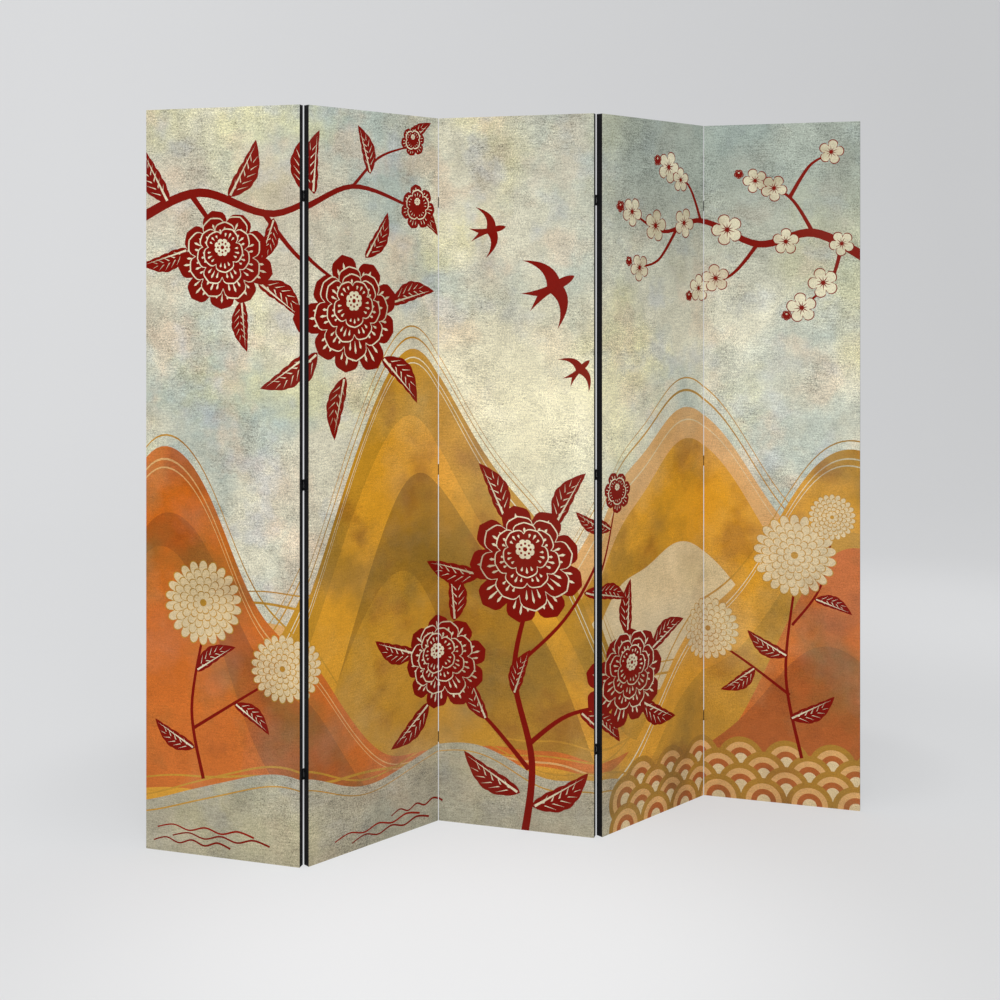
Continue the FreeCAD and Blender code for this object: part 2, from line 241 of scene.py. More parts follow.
@dataclass
class Hill(Motif):
    """A hill across the strip: rounded rises on a base height, with lines that follow its crest.

    A rise has a middle, a height and a spread. A line has a drop, a width and an ink.
    A band has a drop and an ink.
    """

    ink: Ink
    base: float
    rises: list[tuple[float, float, float]]
    lines: list[tuple[float, float, Ink]]
    bands: list[tuple[float, Ink]]
    ripple: float = 10.0
    wavelength: float = 96.0
    left: float = -15.0
    right: float = 1990.0
    # well below the foot, so that no hill's underside shows
    under: float = -900.0
    step: float = 14.0
    # a finer wave on the crest's own: its share of the height, its pace and its shift
    fine: tuple[float, float, float] = (0.4, 2.7, 1.3)
    # how much a drop swings along the slope, over what run, and how that shifts with the drop
    lean: tuple[float, float, float] = (0.25, 170.0, 60.0)

    def crest(self, across: float, drop: float) -> float:
        """The height of the crest at a place across the strip, less a drop that leans with the slope."""
        rise = sum(high * math.exp(-(((across - peak) / spread) ** 2)) for peak, high, spread in self.rises)
        share, pace, shift = self.fine
        wave = self.ripple * math.sin(across / self.wavelength + self.base)
        wave += share * self.ripple * math.sin(across / self.wavelength * pace + shift * self.base)
        swing, run, slip = self.lean
        return self.base + rise + wave - drop * (1 + swing * math.sin(across / run + drop / slip))

    def band(self, upper: float, lower: float | None = None) -> tuple[Point, ...]:
        """The outline between two drops below the crest, or from one drop to well below the foot."""
        count = int((self.right - self.left) / self.step)
        places = [self.left + self.step * k for k in range(count + 1)]
        top = [(u, self.crest(u, upper)) for u in places]
        if lower is None:
            return (*top, (places[-1], self.under), (places[0], self.under))
        return (*top, *[(u, self.crest(u, lower)) for u in reversed(places)])

    def shapes(self) -> Iterator[Shape]:
        """The hill, its darker or lighter bands, then its lines."""
        for drop, ink in ((0.0, self.ink), *self.bands):
            yield Shape(self.band(drop), ink)
        for drop, width, ink in self.lines:
            yield Shape(self.band(drop, drop + width), ink)


@dataclass
class Stem(Motif):
    """A stem, twig or branch that thins towards its end."""

    points: list[Point]
    width: float
    tip: float
    ink: Ink = Ink.DARK_RED

    def shapes(self) -> Iterator[Shape]:
        """The stem's one patch."""
        yield Shape(ribbon(smooth_path(self.points), self.width, self.tip), self.ink)


@dataclass
class Leaf(Motif):
    """A pointed leaf with a toothed edge, and its ribs cut out in a light ink."""

    root: Point
    angle: float
    length: float
    width: float
    bend: float
    ink: Ink = Ink.DARK_RED
    rib_ink: Ink = Ink.PALE_CREAM
    teeth: int = 5
    veins: int = 5
    vein_from: float = 0.16
    vein_run: float = 0.62
    rib: float = 0.055
    marks: int = 20

    def at(self, along: float, across: float) -> Point:
        """Puts a place on the flat leaf, along 0 to 1 and across in millimetres, onto the strip."""
        turn = math.radians(self.angle)
        x = along * self.length
        y = across + self.bend * self.length * math.sin(math.pi * along)
        cos, sin = math.cos(turn), math.sin(turn)
        return self.root[0] + x * cos - y * sin, self.root[1] + x * sin + y * cos

    def half_width(self, along: float) -> float:
        """Half of the leaf's width, with soft teeth on each side."""
        body = math.sin(math.pi * along**0.8) ** 0.85
        return self.width / 2 * body * (0.9 + 0.1 * abs(math.sin(self.teeth * math.pi * along)))

    def shapes(self) -> Iterator[Shape]:
        """The blade, its middle rib, then its side veins."""
        marks = [k / self.marks for k in range(self.marks + 1)]
        upper = [self.at(t, self.half_width(t)) for t in marks]
        lower = [self.at(t, -self.half_width(t)) for t in marks[-2:0:-1]]
        yield Shape((*upper, *lower), self.ink)
        thick = self.width * self.rib
        yield Shape((self.at(0.04, -thick), self.at(0.92, 0.0), self.at(0.04, thick)), self.rib_ink)
        for k in range(self.veins):
            along = self.vein_from + self.vein_run * k / self.veins
            out = self.half_width(along + 0.12) * 0.78
            for side in (-1, 1):
                places = ((0.0, thick), (0.03, thick), (0.14, out))
                yield Shape(tuple(self.at(along + on, side * off) for on, off in places), self.rib_ink)


def leaves(*rows: tuple[float, ...]) -> Iterator[Motif]:
    """Leaves from rows of a root's two measures, an angle, a length, a width and a bend."""
    return (Leaf((x, y), *rest) for x, y, *rest in rows)


def lobed_ring(centre: Point, radius: float, lobes: int, depth: float, start: float, frill: float = 0.0,
               reach: list[float] | None = None, steps: int = 9) -> tuple[Point, ...]:
    """The outline of a ring of rounded petals.

    Args:
        centre: The flower's middle.
        radius: From the middle to the petals' tips.
        lobes: How many petals.
        depth: How deep the notches are, as a share of the radius.
        start: The angle of the first notch.
        frill: How much three small waves on each petal show.
        reach: Each petal's own length, as a share of the radius.
        steps: How many edges each petal has.

    Returns:
        The closed outline.
    """
    outline = []
    for k in range(lobes * steps):
        part = (k % steps) / steps
        tip = (reach[k // steps] if reach else 1.0) - (1 - depth)
        swell = math.sin(math.pi * part) ** 0.5 * (1 - frill * abs(math.cos(3 * math.pi * part)))
        angle = start + math.tau * k / (lobes * steps)
        outline.append(polar(centre, radius * (1 - depth + tip * swell), angle))
    return tuple(outline)


@dataclass
class Peony(Motif):
    """A full flower in the manner of a paper cut: frilled rings of petals with slits and light edges.

    Each ring has a size, as a share of the radius, and a number of petals. Each slit has a turn and a reach.
    """

    centre: Point
    radius: float
    seed: int
    lean: float = 90.0
    rings: tuple[tuple[float, int], ...] = ((1.0, 9), (0.79, 8), (0.59, 7), (0.40, 5))
    slits: tuple[Point, ...] = ((-0.21, 0.8), (0.0, 0.87), (0.21, 0.8))
    ink: Ink = Ink.DARK_RED
    slit_ink: Ink = Ink.PALE_CREAM
    slit_from: float = 0.62
    edge: float = 3.0
    fine: float = 0.022
    petal_steps: int = 12
    # each ring's shift to the side that the flower leans to, the heart's shift and the heart's radius
    shift: float = 0.07
    heart_at: float = 0.26
    heart: float = 0.17

    def towards(self, share: float) -> Point:
        """A place off the middle by a share of the radius, on the side that the flower leans to."""
        return polar(self.centre, self.radius * share, math.radians(self.lean))

    def shapes(self) -> Iterator[Shape]:
        """Each ring from the outside in, each with its slits, then the heart."""
        chance = random.Random(self.seed)
        for number, (share, lobes) in enumerate(self.rings):
            middle = self.towards(self.shift * number)
            size = self.radius * share
            start = chance.uniform(0, math.tau)
            lengths = [chance.uniform(0.92, 1.06) for _ in range(lobes)]
            petals = (lengths, self.petal_steps)
            if number:
                wide = size + self.edge
                yield Shape(lobed_ring(middle, wide, lobes, 0.24, start, 0.07, *petals), self.slit_ink)
            yield Shape(lobed_ring(middle, size, lobes, 0.25, start, 0.09, *petals), self.ink)
            for lobe in range(lobes):
                heading = start + math.tau * (lobe + 0.5) / lobes
                for turn, long in self.slits:
                    aim = heading + turn * 9 / lobes / 1.3
                    yield self.slit(middle, size, aim, long * lengths[lobe])
        heart = self.towards(self.heart_at)
        yield Shape(lobed_ring(heart, self.radius * self.heart, 8, 0.2, 0.0), self.slit_ink)
        for dot in disc(heart, self.radius * 0.095, 8):
            yield Shape(disc(dot, self.radius * self.fine, 6), self.ink)
        yield Shape(disc(heart, self.radius * 0.04, 8), self.ink)

    def slit(self, middle: Point, size: float, heading: float, far: float) -> Shape:
        """A drop-shaped cut along a petal, out to a share of its ring's size."""
        width = self.radius * self.fine
        root, tip = (polar(middle, size * share, heading) for share in (self.slit_from, far))
        side = (-math.sin(heading) * width, math.cos(heading) * width)
        high = (root[0] + (tip[0] - root[0]) * 0.78, root[1] + (tip[1] - root[1]) * 0.78)
        right, left = ((high[0] + way * side[0], high[1] + way * side[1]) for way in (-1, 1))
        return Shape((root, right, tip, left), self.slit_ink)


@dataclass
class LightFlower(Motif):
    """A light flower with fine flecks of a darker ink."""

    centre: Point
    radius: float
    turn: float = 0.0
    ink: Ink = Ink.PALE_CREAM
    line_ink: Ink = Ink.DARK_RED
    line: float = 2.6

    def fleck(self, size: float, angle: float, corners: tuple[Point, ...]) -> Shape:
        """A fleck at an angle, whose corners have a share of a size and a turn."""
        outline = tuple(polar(self.centre, size * far, angle + turn) for far, turn in corners)
        return Shape(outline, self.line_ink)


@dataclass
class Chrysanthemum(LightFlower):
    """A light round flower of many slender petals."""

    ink: Ink = Ink.CREAM
    line_ink: Ink = Ink.OCHRE
    rings: tuple[tuple[float, int], ...] = ((1.0, 22), (0.8, 20), (0.61, 16), (0.43, 12), (0.26, 8))

    def shapes(self) -> Iterator[Shape]:
        """Each ring on a slightly larger one in the line's ink, with a line up each gap."""
        for number, (share, lobes) in enumerate(self.rings):
            size = self.radius * share
            start = number * 0.37
            yield Shape(lobed_ring(self.centre, size + self.line, lobes, 0.2, start, steps=7), self.line_ink)
            yield Shape(lobed_ring(self.centre, size, lobes, 0.22, start, steps=7), self.ink)
            half = self.line * 0.5 / size
            for lobe in range(lobes):
                angle = start + math.tau * lobe / lobes
                yield self.fleck(size, angle, ((0.6, 0.0), (0.8, half), (0.8, -half)))
        yield Shape(disc(self.centre, self.radius * 0.09, 12), self.line_ink)


@dataclass
class Blossom(LightFlower):
    """A small open blossom of five round petals."""

    stamens: int = 10

    def shapes(self) -> Iterator[Shape]:
        """A dark edge, the petals, then the stamens."""
        edge = self.radius + self.line
        yield Shape(lobed_ring(self.centre, edge, 5, 0.44, self.turn, steps=10), self.line_ink)
        yield Shape(lobed_ring(self.centre, self.radius, 5, 0.5, self.turn, steps=10), self.ink)
        for k in range(self.stamens):
            angle = self.turn + math.tau * (k + 0.5) / self.stamens
            long = 0.6 if k % 2 else 0.48
            yield self.fleck(self.radius, angle, ((0.1, -0.5), (long, 0.0), (0.1, 0.5)))
        yield Shape(disc(self.centre, self.radius * 0.15, 8), self.line_ink)


@dataclass
class Swallow(Motif):
    """A swallow on the wing, seen as a plain dark shape. It is drawn round 0 with a half span of 1."""

    centre: Point
    span: float
    turn: float
    ink: Ink = Ink.DARK_RED

    def arc(self, start: Point, lift: Point, end: Point, steps: int = 9) -> list[Point]:
        """A bent line of points from start to end, drawn towards lift."""
        shares = [k / steps for k in range(steps + 1)]
        return [tuple((1 - t) ** 2 * start[j] + 2 * t * (1 - t) * lift[j] + t * t * end[j] for j in (0, 1))
                for t in shares]

    def placed(self, points: list[Point]) -> Shape:
        """Puts an outline onto the strip."""
        angle = math.radians(self.turn)
        cos, sin = math.cos(angle) * self.span / 2, math.sin(angle) * self.span / 2
        x0, y0 = self.centre
        return Shape(tuple((x0 + x * cos - y * sin, y0 + x * sin + y * cos) for x, y in points), self.ink)

    def shapes(self) -> Iterator[Shape]:
        """Two swept wings, then the body with its forked tail."""
        for side in (-1, 1):
            front = self.arc((0.22, side * 0.04), (0.34, side * 0.62), (-0.42, side * 1.0))
            rear = self.arc((-0.42, side * 1.0), (0.1, side * 0.5), (-0.18, side * 0.05))
            yield self.placed(front + rear[1:])
        flank = self.arc((0.62, 0.0), (0.45, 0.16), (0.0, 0.1))
        flank += self.arc((0.0, 0.1), (-0.3, 0.08), (-0.85, 0.26))[1:]
        yield self.placed([*flank, (-0.5, 0.0), *((x, -y) for x, y in flank[:0:-1])])


@dataclass
class Scallops(Motif):
    """Rows of overlapping round waves along the foot."""

    left: float
    right: float
    rows: int = 3
    pitch: float = 116.0
    rise: float = 34.0
    inks: tuple[Ink, ...] = (Ink.DARK_OCHRE, Ink.PEACH, Ink.BURNT_ORANGE, Ink.CREAM)

    def shapes(self) -> Iterator[Shape]:
        """Row by row from the rear, each wave as four rounds one inside the other."""
        count = int((self.right - self.left) / self.pitch) + 2
        for row in range(self.rows, -1, -1):
            shift = self.pitch / 2 if row % 2 else 0.0
            for k in range(count):
                middle = (self.left + shift + self.pitch * k, self.rise * row)
                for ring, ink in enumerate(self.inks):
                    yield Shape(disc(middle, self.pitch * 0.52 * (1 - 0.235 * ring), 30), ink)


# the rings of a half-open peony
BUD_RINGS = ((1.0, 7), (0.66, 5))


@dataclass
class Artwork:
    """The whole print: hills, flowers, swallows and waves in a plain decorative manner, across five panels.

    Places are millimetres across the strip and up from the foot.
    """

    ground: Ink = Ink.PARCHMENT

    def hills(self) -> Iterator[Motif]:
        """The hills, the farthest first."""
        yield Hill(
            Ink.PEACH, 560, [(1520, 470, 260), (1240, 120, 120)],
            [(-38, 5, Ink.OCHRE), (-62, 3, Ink.OCHRE), (30, 4, Ink.CREAM)],
            [(105, Ink.BRIGHT_OCHRE), (285, Ink.CREAM)],
        )
        yield Hill(
            Ink.OCHRE, 300, [(700, 880, 300), (1080, 240, 150)],
            [(-34, 5, Ink.OCHRE), (-58, 3, Ink.OCHRE), (26, 4, Ink.PALE_CREAM), (44, 3, Ink.PALE_CREAM)],
            [(150, Ink.BRIGHT_OCHRE), (330, Ink.DARK_OCHRE), (520, Ink.OCHRE)],
        )
        yield Hill(
            Ink.ORANGE, 190, [(60, 760, 270), (420, 130, 120)],
            [(-30, 5, Ink.OCHRE), (24, 4, Ink.PEACH), (40, 3, Ink.PEACH)],
            [(140, Ink.BURNT_ORANGE), (300, Ink.ORANGE)], wavelength=80,
        )
        yield Hill(
            Ink.BRIGHT_OCHRE, 150, [(1960, 780, 340), (1480, 150, 150)],
            [(-32, 5, Ink.OCHRE), (26, 4, Ink.PALE_CREAM), (44, 3, Ink.PALE_CREAM)],
            [(170, Ink.OCHRE), (330, Ink.ORANGE), (470, Ink.BURNT_ORANGE)], wavelength=110,
        )
        yield Hill(
            Ink.MIST, 96, [(330, 120, 220), (860, 100, 200), (1180, 40, 110)],
            [(-16, 4, Ink.OCHRE), (22, 3, Ink.OCHRE)], [(70, Ink.PARCHMENT)], wavelength=120, right=1350.0,
        )

    def foot(self) -> Iterator[Motif]:
        """The waves and the ripples along the foot."""
        yield Scallops(1270, 1990)
        ripples = ((30, 250, 60), (70, 250, 44), (20, 200, 28),
                   (470, 260, 40), (520, 240, 24), (640, 160, 56))
        for k, (left, length, height) in enumerate(ripples):
            points = [(left + length * j / 6, height + (5 if j % 2 else -5)) for j in range(7)]
            yield Stem(points, 3.0, 5.0, Ink.DARK_RED if k % 3 else Ink.RED)

    def light_flowers(self) -> Iterator[Motif]:
        """Light flowers on the hills at both ends, on dark stems."""
        yield Stem([(150, 180), (120, 340), (150, 520)], 9, 6)
        yield Stem([(124, 296), (240, 370), (320, 420)], 8, 5)
        yield Stem([(1830, 120), (1790, 330), (1812, 560)], 9, 6)
        yield Stem([(1800, 280), (1700, 350), (1620, 400)], 8, 5)
        yield Stem([(1806, 460), (1876, 560), (1905, 690)], 7, 4)
        yield from leaves(
            (128, 250, 150, 120, 42, 0.12), (132, 430, 32, 120, 40, 0.12),
            (230, 362, -36, 110, 38, 0.12), (1800, 220, 30, 130, 44, -0.12),
            (1796, 380, 150, 120, 42, 0.12), (1712, 345, 216, 110, 38, 0.12),
            (1862, 530, -20, 100, 34, 0.12),
        )
        for centre, radius in (((150, 592), 98), ((352, 452), 78), ((1812, 640), 104), ((1590, 438), 80),
                               ((1906, 742), 58)):
            yield Chrysanthemum(centre, radius)

    def centre_plant(self) -> Iterator[Motif]:
        """A plant with three great flowers, grown from the foot of the middle panel."""
        yield Stem([(1010, -20), (1030, 170), (985, 380), (1020, 560)], 20, 10)
        yield Stem([(1022, 150), (930, 250), (840, 330)], 13, 7)
        yield Stem([(1020, 210), (1120, 290), (1250, 330)], 13, 7)
        yield Stem([(990, 400), (1110, 520), (1190, 660), (1230, 790)], 10, 4)
        yield from leaves(
            (1000, 90, 148, 170, 58, 0.12), (1030, 60, 34, 170, 58, -0.12),
            (915, 262, 112, 130, 46, 0.12), (760, 300, 216, 150, 52, 0.1),
            (720, 430, 158, 140, 50, 0.12), (830, 500, 96, 140, 50, -0.12), (985, 330, 70, 120, 42, 0.1),
            (900, 620, 168, 150, 54, 0.12), (960, 760, 116, 150, 54, -0.12),
            (1090, 750, 60, 150, 52, 0.12), (1150, 300, -40, 130, 46, 0.12),
            (1330, 300, -26, 150, 52, -0.12), (1370, 420, 24, 140, 50, 0.12),
            (1280, 470, 86, 140, 50, 0.1), (1160, 590, -14, 120, 42, 0.12),
            (1218, 740, 150, 90, 34, 0.1),
        )
        yield Peony((1016, 650), 146, 11, 95)
        yield Peony((800, 398), 116, 14, 120)
        yield Peony((1284, 372), 124, 17, 70)
        yield Peony((1240, 828), 50, 19, rings=BUD_RINGS)

    def upper_left_branch(self) -> Iterator[Motif]:
        """A branch with two great flowers and two buds."""
        yield Stem([(-20, 1492), (140, 1552), (330, 1500), (520, 1568), (690, 1530)], 25, 7)
        yield Stem([(300, 1508), (392, 1400), (500, 1330)], 13, 6)
        yield Stem([(120, 1545), (170, 1480), (205, 1430)], 14, 8)
        yield Stem([(520, 1566), (600, 1640), (690, 1672)], 9, 4)
        yield from leaves(
            (60, 1530, 118, 150, 56, 0.1), (215, 1540, 62, 150, 54, -0.12),
            (110, 1420, 196, 130, 46, 0.12), (290, 1340, -38, 140, 50, 0.15),
            (250, 1300, -84, 120, 44, -0.1), (410, 1545, 84, 150, 52, 0.14),
            (420, 1180, 214, 150, 52, 0.12), (500, 1120, 258, 150, 52, -0.1),
            (610, 1160, -46, 160, 56, 0.14), (640, 1290, 12, 140, 50, 0.12),
            (575, 1600, 108, 120, 42, -0.1), (690, 1525, -34, 120, 42, 0.15),
            (690, 1672, 40, 100, 36, 0.1), (330, 1490, -110, 110, 40, 0.1),
            (560, 1400, 58, 130, 46, -0.12),
        )
        yield Peony((205, 1392), 122, 3, 100)
        yield Peony((520, 1262), 140, 8, 80)
        yield Peony((722, 1526), 54, 5, rings=BUD_RINGS)
        yield Peony((708, 1688), 38, 6, rings=((1.0, 6), (0.6, 4)))

    def upper_right_branch(self) -> Iterator[Motif]:
        """A twiggy branch in blossom from the right-hand edge."""
        bough = [(1995, 1400), (1860, 1468), (1720, 1440), (1570, 1502), (1420, 1470), (1300, 1512)]
        yield Stem(bough, 26, 5)
        for points in (
            [(1860, 1466), (1800, 1560), (1712, 1600)], [(1720, 1442), (1650, 1360), (1560, 1330)],
            [(1570, 1500), (1520, 1590), (1440, 1630)], [(1470, 1478), (1400, 1400), (1330, 1380)],
            [(1930, 1434), (1900, 1340), (1830, 1280)], [(1800, 1560), (1850, 1640), (1900, 1668)],
        ):
            yield Stem(points, 11, 4)
        blossoms = (
            (1712, 1604), (1560, 1326), (1438, 1634), (1324, 1378), (1830, 1276), (1904, 1674), (1296, 1516),
            (1640, 1478), (1790, 1446), (1500, 1494), (1930, 1440), (1610, 1352), (1386, 1484), (1760, 1584),
            (1884, 1340), (1486, 1604),
        )
        for k, centre in enumerate(blossoms):
            yield Blossom(centre, 30 + 9 * ((k * 7) % 5) / 4, k * 0.9)
        buds = ((1670, 1622), (1520, 1306), (1394, 1650), (1284, 1394), (1792, 1256), (1252, 1528))
        for k, centre in enumerate(buds):
            yield Peony(centre, 13 + k % 3, k, rings=((1.0, 5),))

    def swallows(self) -> Iterator[Motif]:
        """Three swallows between the branches."""
        for centre, span, turn in (((1085, 1330), 190, 28), ((925, 1470), 130, 12), ((1150, 1130), 110, 44)):
            yield Swallow(centre, span, turn)

    def shapes(self) -> list[Shape]:
        """Every patch of the print, the hindmost first."""
        parts = (self.hills(), self.foot(), self.light_flowers(), self.centre_plant(),
                 self.upper_left_branch(), self.upper_right_branch(), self.swallows())
        return [shape for part in parts for motif in part for shape in motif.shapes()]


class Nodes:
    """The node tree of a new material, with a short way to add each kind of node that the finishes share."""

    def __init__(self, name: str) -> None:
        """Starts the material with its one shader."""
        self.material = bpy.data.materials.new(name)
        self.material.use_nodes = True
        self.tree = self.material.node_tree
        self.shader = self.tree.nodes["Principled BSDF"]

    def add(self, kind: str, inputs: dict[Any, Any] | None = None, **settings: Any) -> Any:
        """Adds one node to this material."""
        return add_node(self.tree, kind, inputs, **settings)

    def noise(self, place: Any, scale: float, detail: float, flat: bool = False, **inputs: float) -> Any:
        """A soft random pattern, in space or over a flat map."""
        ready = {"Vector": place, "Scale": scale, "Detail": detail, **inputs}
        return self.add("ShaderNodeTexNoise", ready, noise_dimensions="2D" if flat else "3D").outputs[0]

    def weave(self, place: Any, spacing: float, **inputs: float) -> Any:
        """Threads that cross, a given number of millimetres apart."""
        ready = {"Vector": place, "Scale": math.tau / (spacing * MM) / WAVES_PER_TURN, **inputs}
        waves = [self.add("ShaderNodeTexWave", ready, bands_direction=axis).outputs[1] for axis in "XY"]
        return self.times(*waves)

    def drawn_out(self, place: Any, scale: tuple[float, ...], shift: Any = (0.0, 0.0, 0.0)) -> Any:
        """A place's coordinates, stretched by a scale along each axis and shifted."""
        return self.add("ShaderNodeMapping", {"Vector": place, "Location": shift, "Scale": scale}).outputs[0]

    def between(self, value: Any, low: float, high: float, to_low: float = 0.0, to_high: float = 1.0,
                **settings: Any) -> Any:
        """Stretches the part of a pattern between two levels over a new span."""
        ready = {0: value, 1: low, 2: high, 3: to_low, 4: to_high}
        return self.add("ShaderNodeMapRange", ready, **settings).outputs[0]

    def reckon(self, operation: str, a: Any, b: Any = 0.0) -> Any:
        """One sum."""
        return self.add("ShaderNodeMath", {0: a, 1: b}, operation=operation).outputs[0]

    def plus(self, a: Any, b: Any) -> Any:
        """Adds two numbers."""
        return self.reckon("ADD", a, b)

    def times(self, a: Any, b: Any) -> Any:
        """Multiplies two numbers."""
        return self.reckon("MULTIPLY", a, b)

    def away(self, place: Any, x: float, y: float) -> Any:
        """How far a place is from a point."""
        return self.add("ShaderNodeVectorMath", {0: place, 1: (x, y, 0.0)}, operation="DISTANCE").outputs[1]

    def shaded(self, colour: Any, share: Any) -> Any:
        """A colour, made darker or lighter."""
        return self.add("ShaderNodeVectorMath", {0: colour, 3: share}, operation="SCALE").outputs[0]

    def blend(self, share: Any, under: Any, over: str) -> Any:
        """Lays a share of an sRGB colour over another colour."""
        below = linear(under) if isinstance(under, str) else under
        return self.add("ShaderNodeMix", {0: share, 6: below, 7: linear(over)}, data_type="RGBA").outputs[2]

    def bump(self, height: Any, strength: float, depth: float) -> Any:
        """Fine relief, with its depth in metres."""
        ready = {"Strength": strength, "Distance": depth, "Height": height}
        return self.add("ShaderNodeBump", ready).outputs[0]

    def finished(self, inputs: dict[str, Any]) -> Material:
        """Feeds the shader with numbers or other nodes' outputs, and gives the material."""
        feed(self.tree, self.shader, inputs)
        return self.material


@dataclass(frozen=True)
class Wash:
    """A thin colour that comes and goes over the print.

    Its soft pattern has a size in millimetres and a shift, and the colour comes in between two levels of it.
    """

    colour: str
    strength: float
    size: float
    shift: float
    low: float
    high: float
    detail: float = 5.0


@dataclass(frozen=True)
class PrintedCanvas:
    """Printed polyester canvas, woven and then printed to look like aged paper.

    To the eye it is matt, softly mottled with blue, yellow and grey washes, with fine horizontal fibres and
    specks. Sizes are in millimetres.
    """

    stains: tuple[Wash, ...] = (
        Wash("745F2A", 0.52, 260.0, 77.0, 0.48, 0.66),
        Wash("7A3A12", 0.38, 190.0, 97.0, 0.54, 0.68),
    )
    washes: tuple[Wash, ...] = (
        Wash("93A9A8", 0.62, 420.0, 3.1, 0.5, 0.66),
        Wash("DDD6A0", 0.6, 336.0, 11.7, 0.54, 0.7),
        Wash("B29A86", 0.42, 294.0, 23.2, 0.55, 0.72),
    )
    tints: tuple[Wash, ...] = (
        Wash("DCC0A4", 0.42, 150.0, 51.0, 0.53, 0.68, 4.0),
        Wash("B4B8C0", 0.4, 120.0, 67.0, 0.55, 0.7, 4.0),
    )
    cloud_size: float = 252.0
    patch_size: float = 231.0
    blotch_size: float = 60.0
    crease_size: float = 46.0
    fibre_length: float = 26.0
    vein_size: float = 13.0
    pit_size: float = 7.36
    grain_size: float = 4.6
    fibre_width: float = 3.4
    speck_size: float = 2.6
    # how fine the swirls are that bend the creases, and how far they bend them, in metres
    swirl_scale: float = 22.0
    swirl_reach: float = 0.06
    # the real threads are 0.5 mm apart, drawn at 1.6 mm so that they show
    thread_spacing: float = 1.6
    roughness: float = 0.78

    def build(self) -> Material:
        """Makes the material. It reads the strip's own map in metres and the ink of each patch."""
        nodes = Nodes("printed_polyester_canvas")
        strip = nodes.add("ShaderNodeUVMap", uv_map="strip").outputs[0]
        colour, bare = nodes.add("ShaderNodeVertexColor", layer_name="ink").outputs
        between, plus, times = nodes.between, nodes.plus, nodes.times

        def noise(size: float, detail: float, shift: float, drawn: float = 1.0, rough: float = 0.55) -> Any:
            """A soft random pattern of a given size, drawn out sideways."""
            scale = 1 / (size * MM)
            place = nodes.drawn_out(strip, (scale / drawn, scale, 1.0), (shift, shift * 0.7, 0.0))
            return nodes.noise(place, 1.0, detail, flat=True, Roughness=rough)

        def swing(pattern: Any, reach: float) -> Any:
            """Spreads a pattern's middle, out to a reach on both sides, from -1 to 1."""
            return between(pattern, 0.5 - reach, 0.5 + reach, -1.0, 1.0)

        # stains lie on the hills' inks, tints on bare paper, and other washes on all but the darkest inks
        soak = nodes.reckon("POWER", bare, 2.2)
        on_ink = times(between(bare, 0.16, 0.45), between(bare, 0.53, 0.46))
        on_paper = times(soak, nodes.reckon("POWER", bare, 3.0))
        layers = []
        for washes, hold in ((self.stains, on_ink), (self.washes, soak), (self.tints, on_paper)):
            for wash in washes:
                pattern = between(noise(wash.size, wash.detail, wash.shift), wash.low, wash.high)
                layers.append((pattern, wash.strength, hold, wash.colour))
        across, height, _ = nodes.add("ShaderNodeSeparateXYZ", {0: strip}).outputs
        right = between(across, 0.95, 1.3, 0.12, 1.0)
        # partly the print's blue-grey tint, partly painted shade that makes the upper right panels darker
        upper_right_tint_and_shade = times(between(height, 1.2, 1.62), right)
        # a dull foot, a pale middle, a pale right side, and a blue-grey upper right that is partly the
        # print's tint and partly painted shade over the upper right panels
        layers += [
            (between(height, 0.75, 0.0), 0.74, soak, "9E967F"),
            (between(nodes.away(strip, 1.03, 0.98), 0.42, 0.08), 0.75, soak, "EFE8C4"),
            (between(nodes.away(strip, 1.74, 1.12), 0.36, 0.06), 0.32, soak, "E8E6D2"),
            (upper_right_tint_and_shade, 0.82, soak, "919D95"),
        ]
        for pattern, strength, hold, tone in layers:
            colour = nodes.blend(times(times(pattern, strength), hold), colour, tone)

        fibres = swing(noise(self.fibre_width, 4.0, 1.9, self.fibre_length / self.fibre_width, 0.65), 0.18)
        ridge = nodes.reckon("SUBTRACT", noise(self.vein_size, 3.0, 31.0, 1.3, 0.6), 0.5)
        ready = {"Vector": strip, "Scale": self.swirl_scale, "Detail": 3.0}
        swirl = nodes.add("ShaderNodeTexNoise", ready, noise_dimensions="2D").outputs[1]
        ready = {0: self.swirl_reach, 4: strip, 5: swirl}
        swirled = nodes.add("ShaderNodeMix", ready, data_type="VECTOR").outputs[1]
        crease = nodes.add("ShaderNodeTexVoronoi", {"Vector": swirled, "Scale": 1 / (self.crease_size * MM)},
                           feature="DISTANCE_TO_EDGE", voronoi_dimensions="2D").outputs[0]
        # how much lighter or darker each pattern makes the print, on top of an even lift
        level: Any = 0.03
        for pattern, amount in (
            (swing(noise(self.cloud_size, 4.0, 41.0, rough=0.6), 0.15), 0.09),
            (swing(noise(self.blotch_size, 6.0, 5.3, rough=0.65), 0.18), 0.12),
            (fibres, 0.14),
            (swing(noise(self.grain_size, 3.0, 7.7, rough=0.6), 0.2), 0.16),
            (swing(noise(self.speck_size, 1.0, 13.3), 0.2), 0.21),
            (between(nodes.reckon("ABSOLUTE", ridge), 0.0, 0.035, 1.0, 0.0), -0.16),
            (between(noise(self.pit_size, 3.0, 17.0, rough=0.7), 0.64, 0.72), -0.3),
            (between(crease, 0.0, 0.05, 1.0, 0.0), -0.07),
        ):
            level = plus(level, times(pattern, amount))
        patches = between(noise(self.patch_size, 4.0, 93.0), 0.4, 0.6, 0.8, 1.26)
        worn = times(plus(times(bare, 0.95), 0.05), patches)
        relief = plus(nodes.weave(strip, self.thread_spacing), times(fibres, 0.25))
        return nodes.finished({
            "Base Color": nodes.shaded(colour, plus(times(level, worn), 1.0)),
            "Normal": nodes.bump(relief, 0.18, 0.0003),
            "Roughness": between(fibres, -1.0, 1.0, self.roughness - 0.06, self.roughness + 0.06),
            "Specular IOR Level": 0.07,
        })


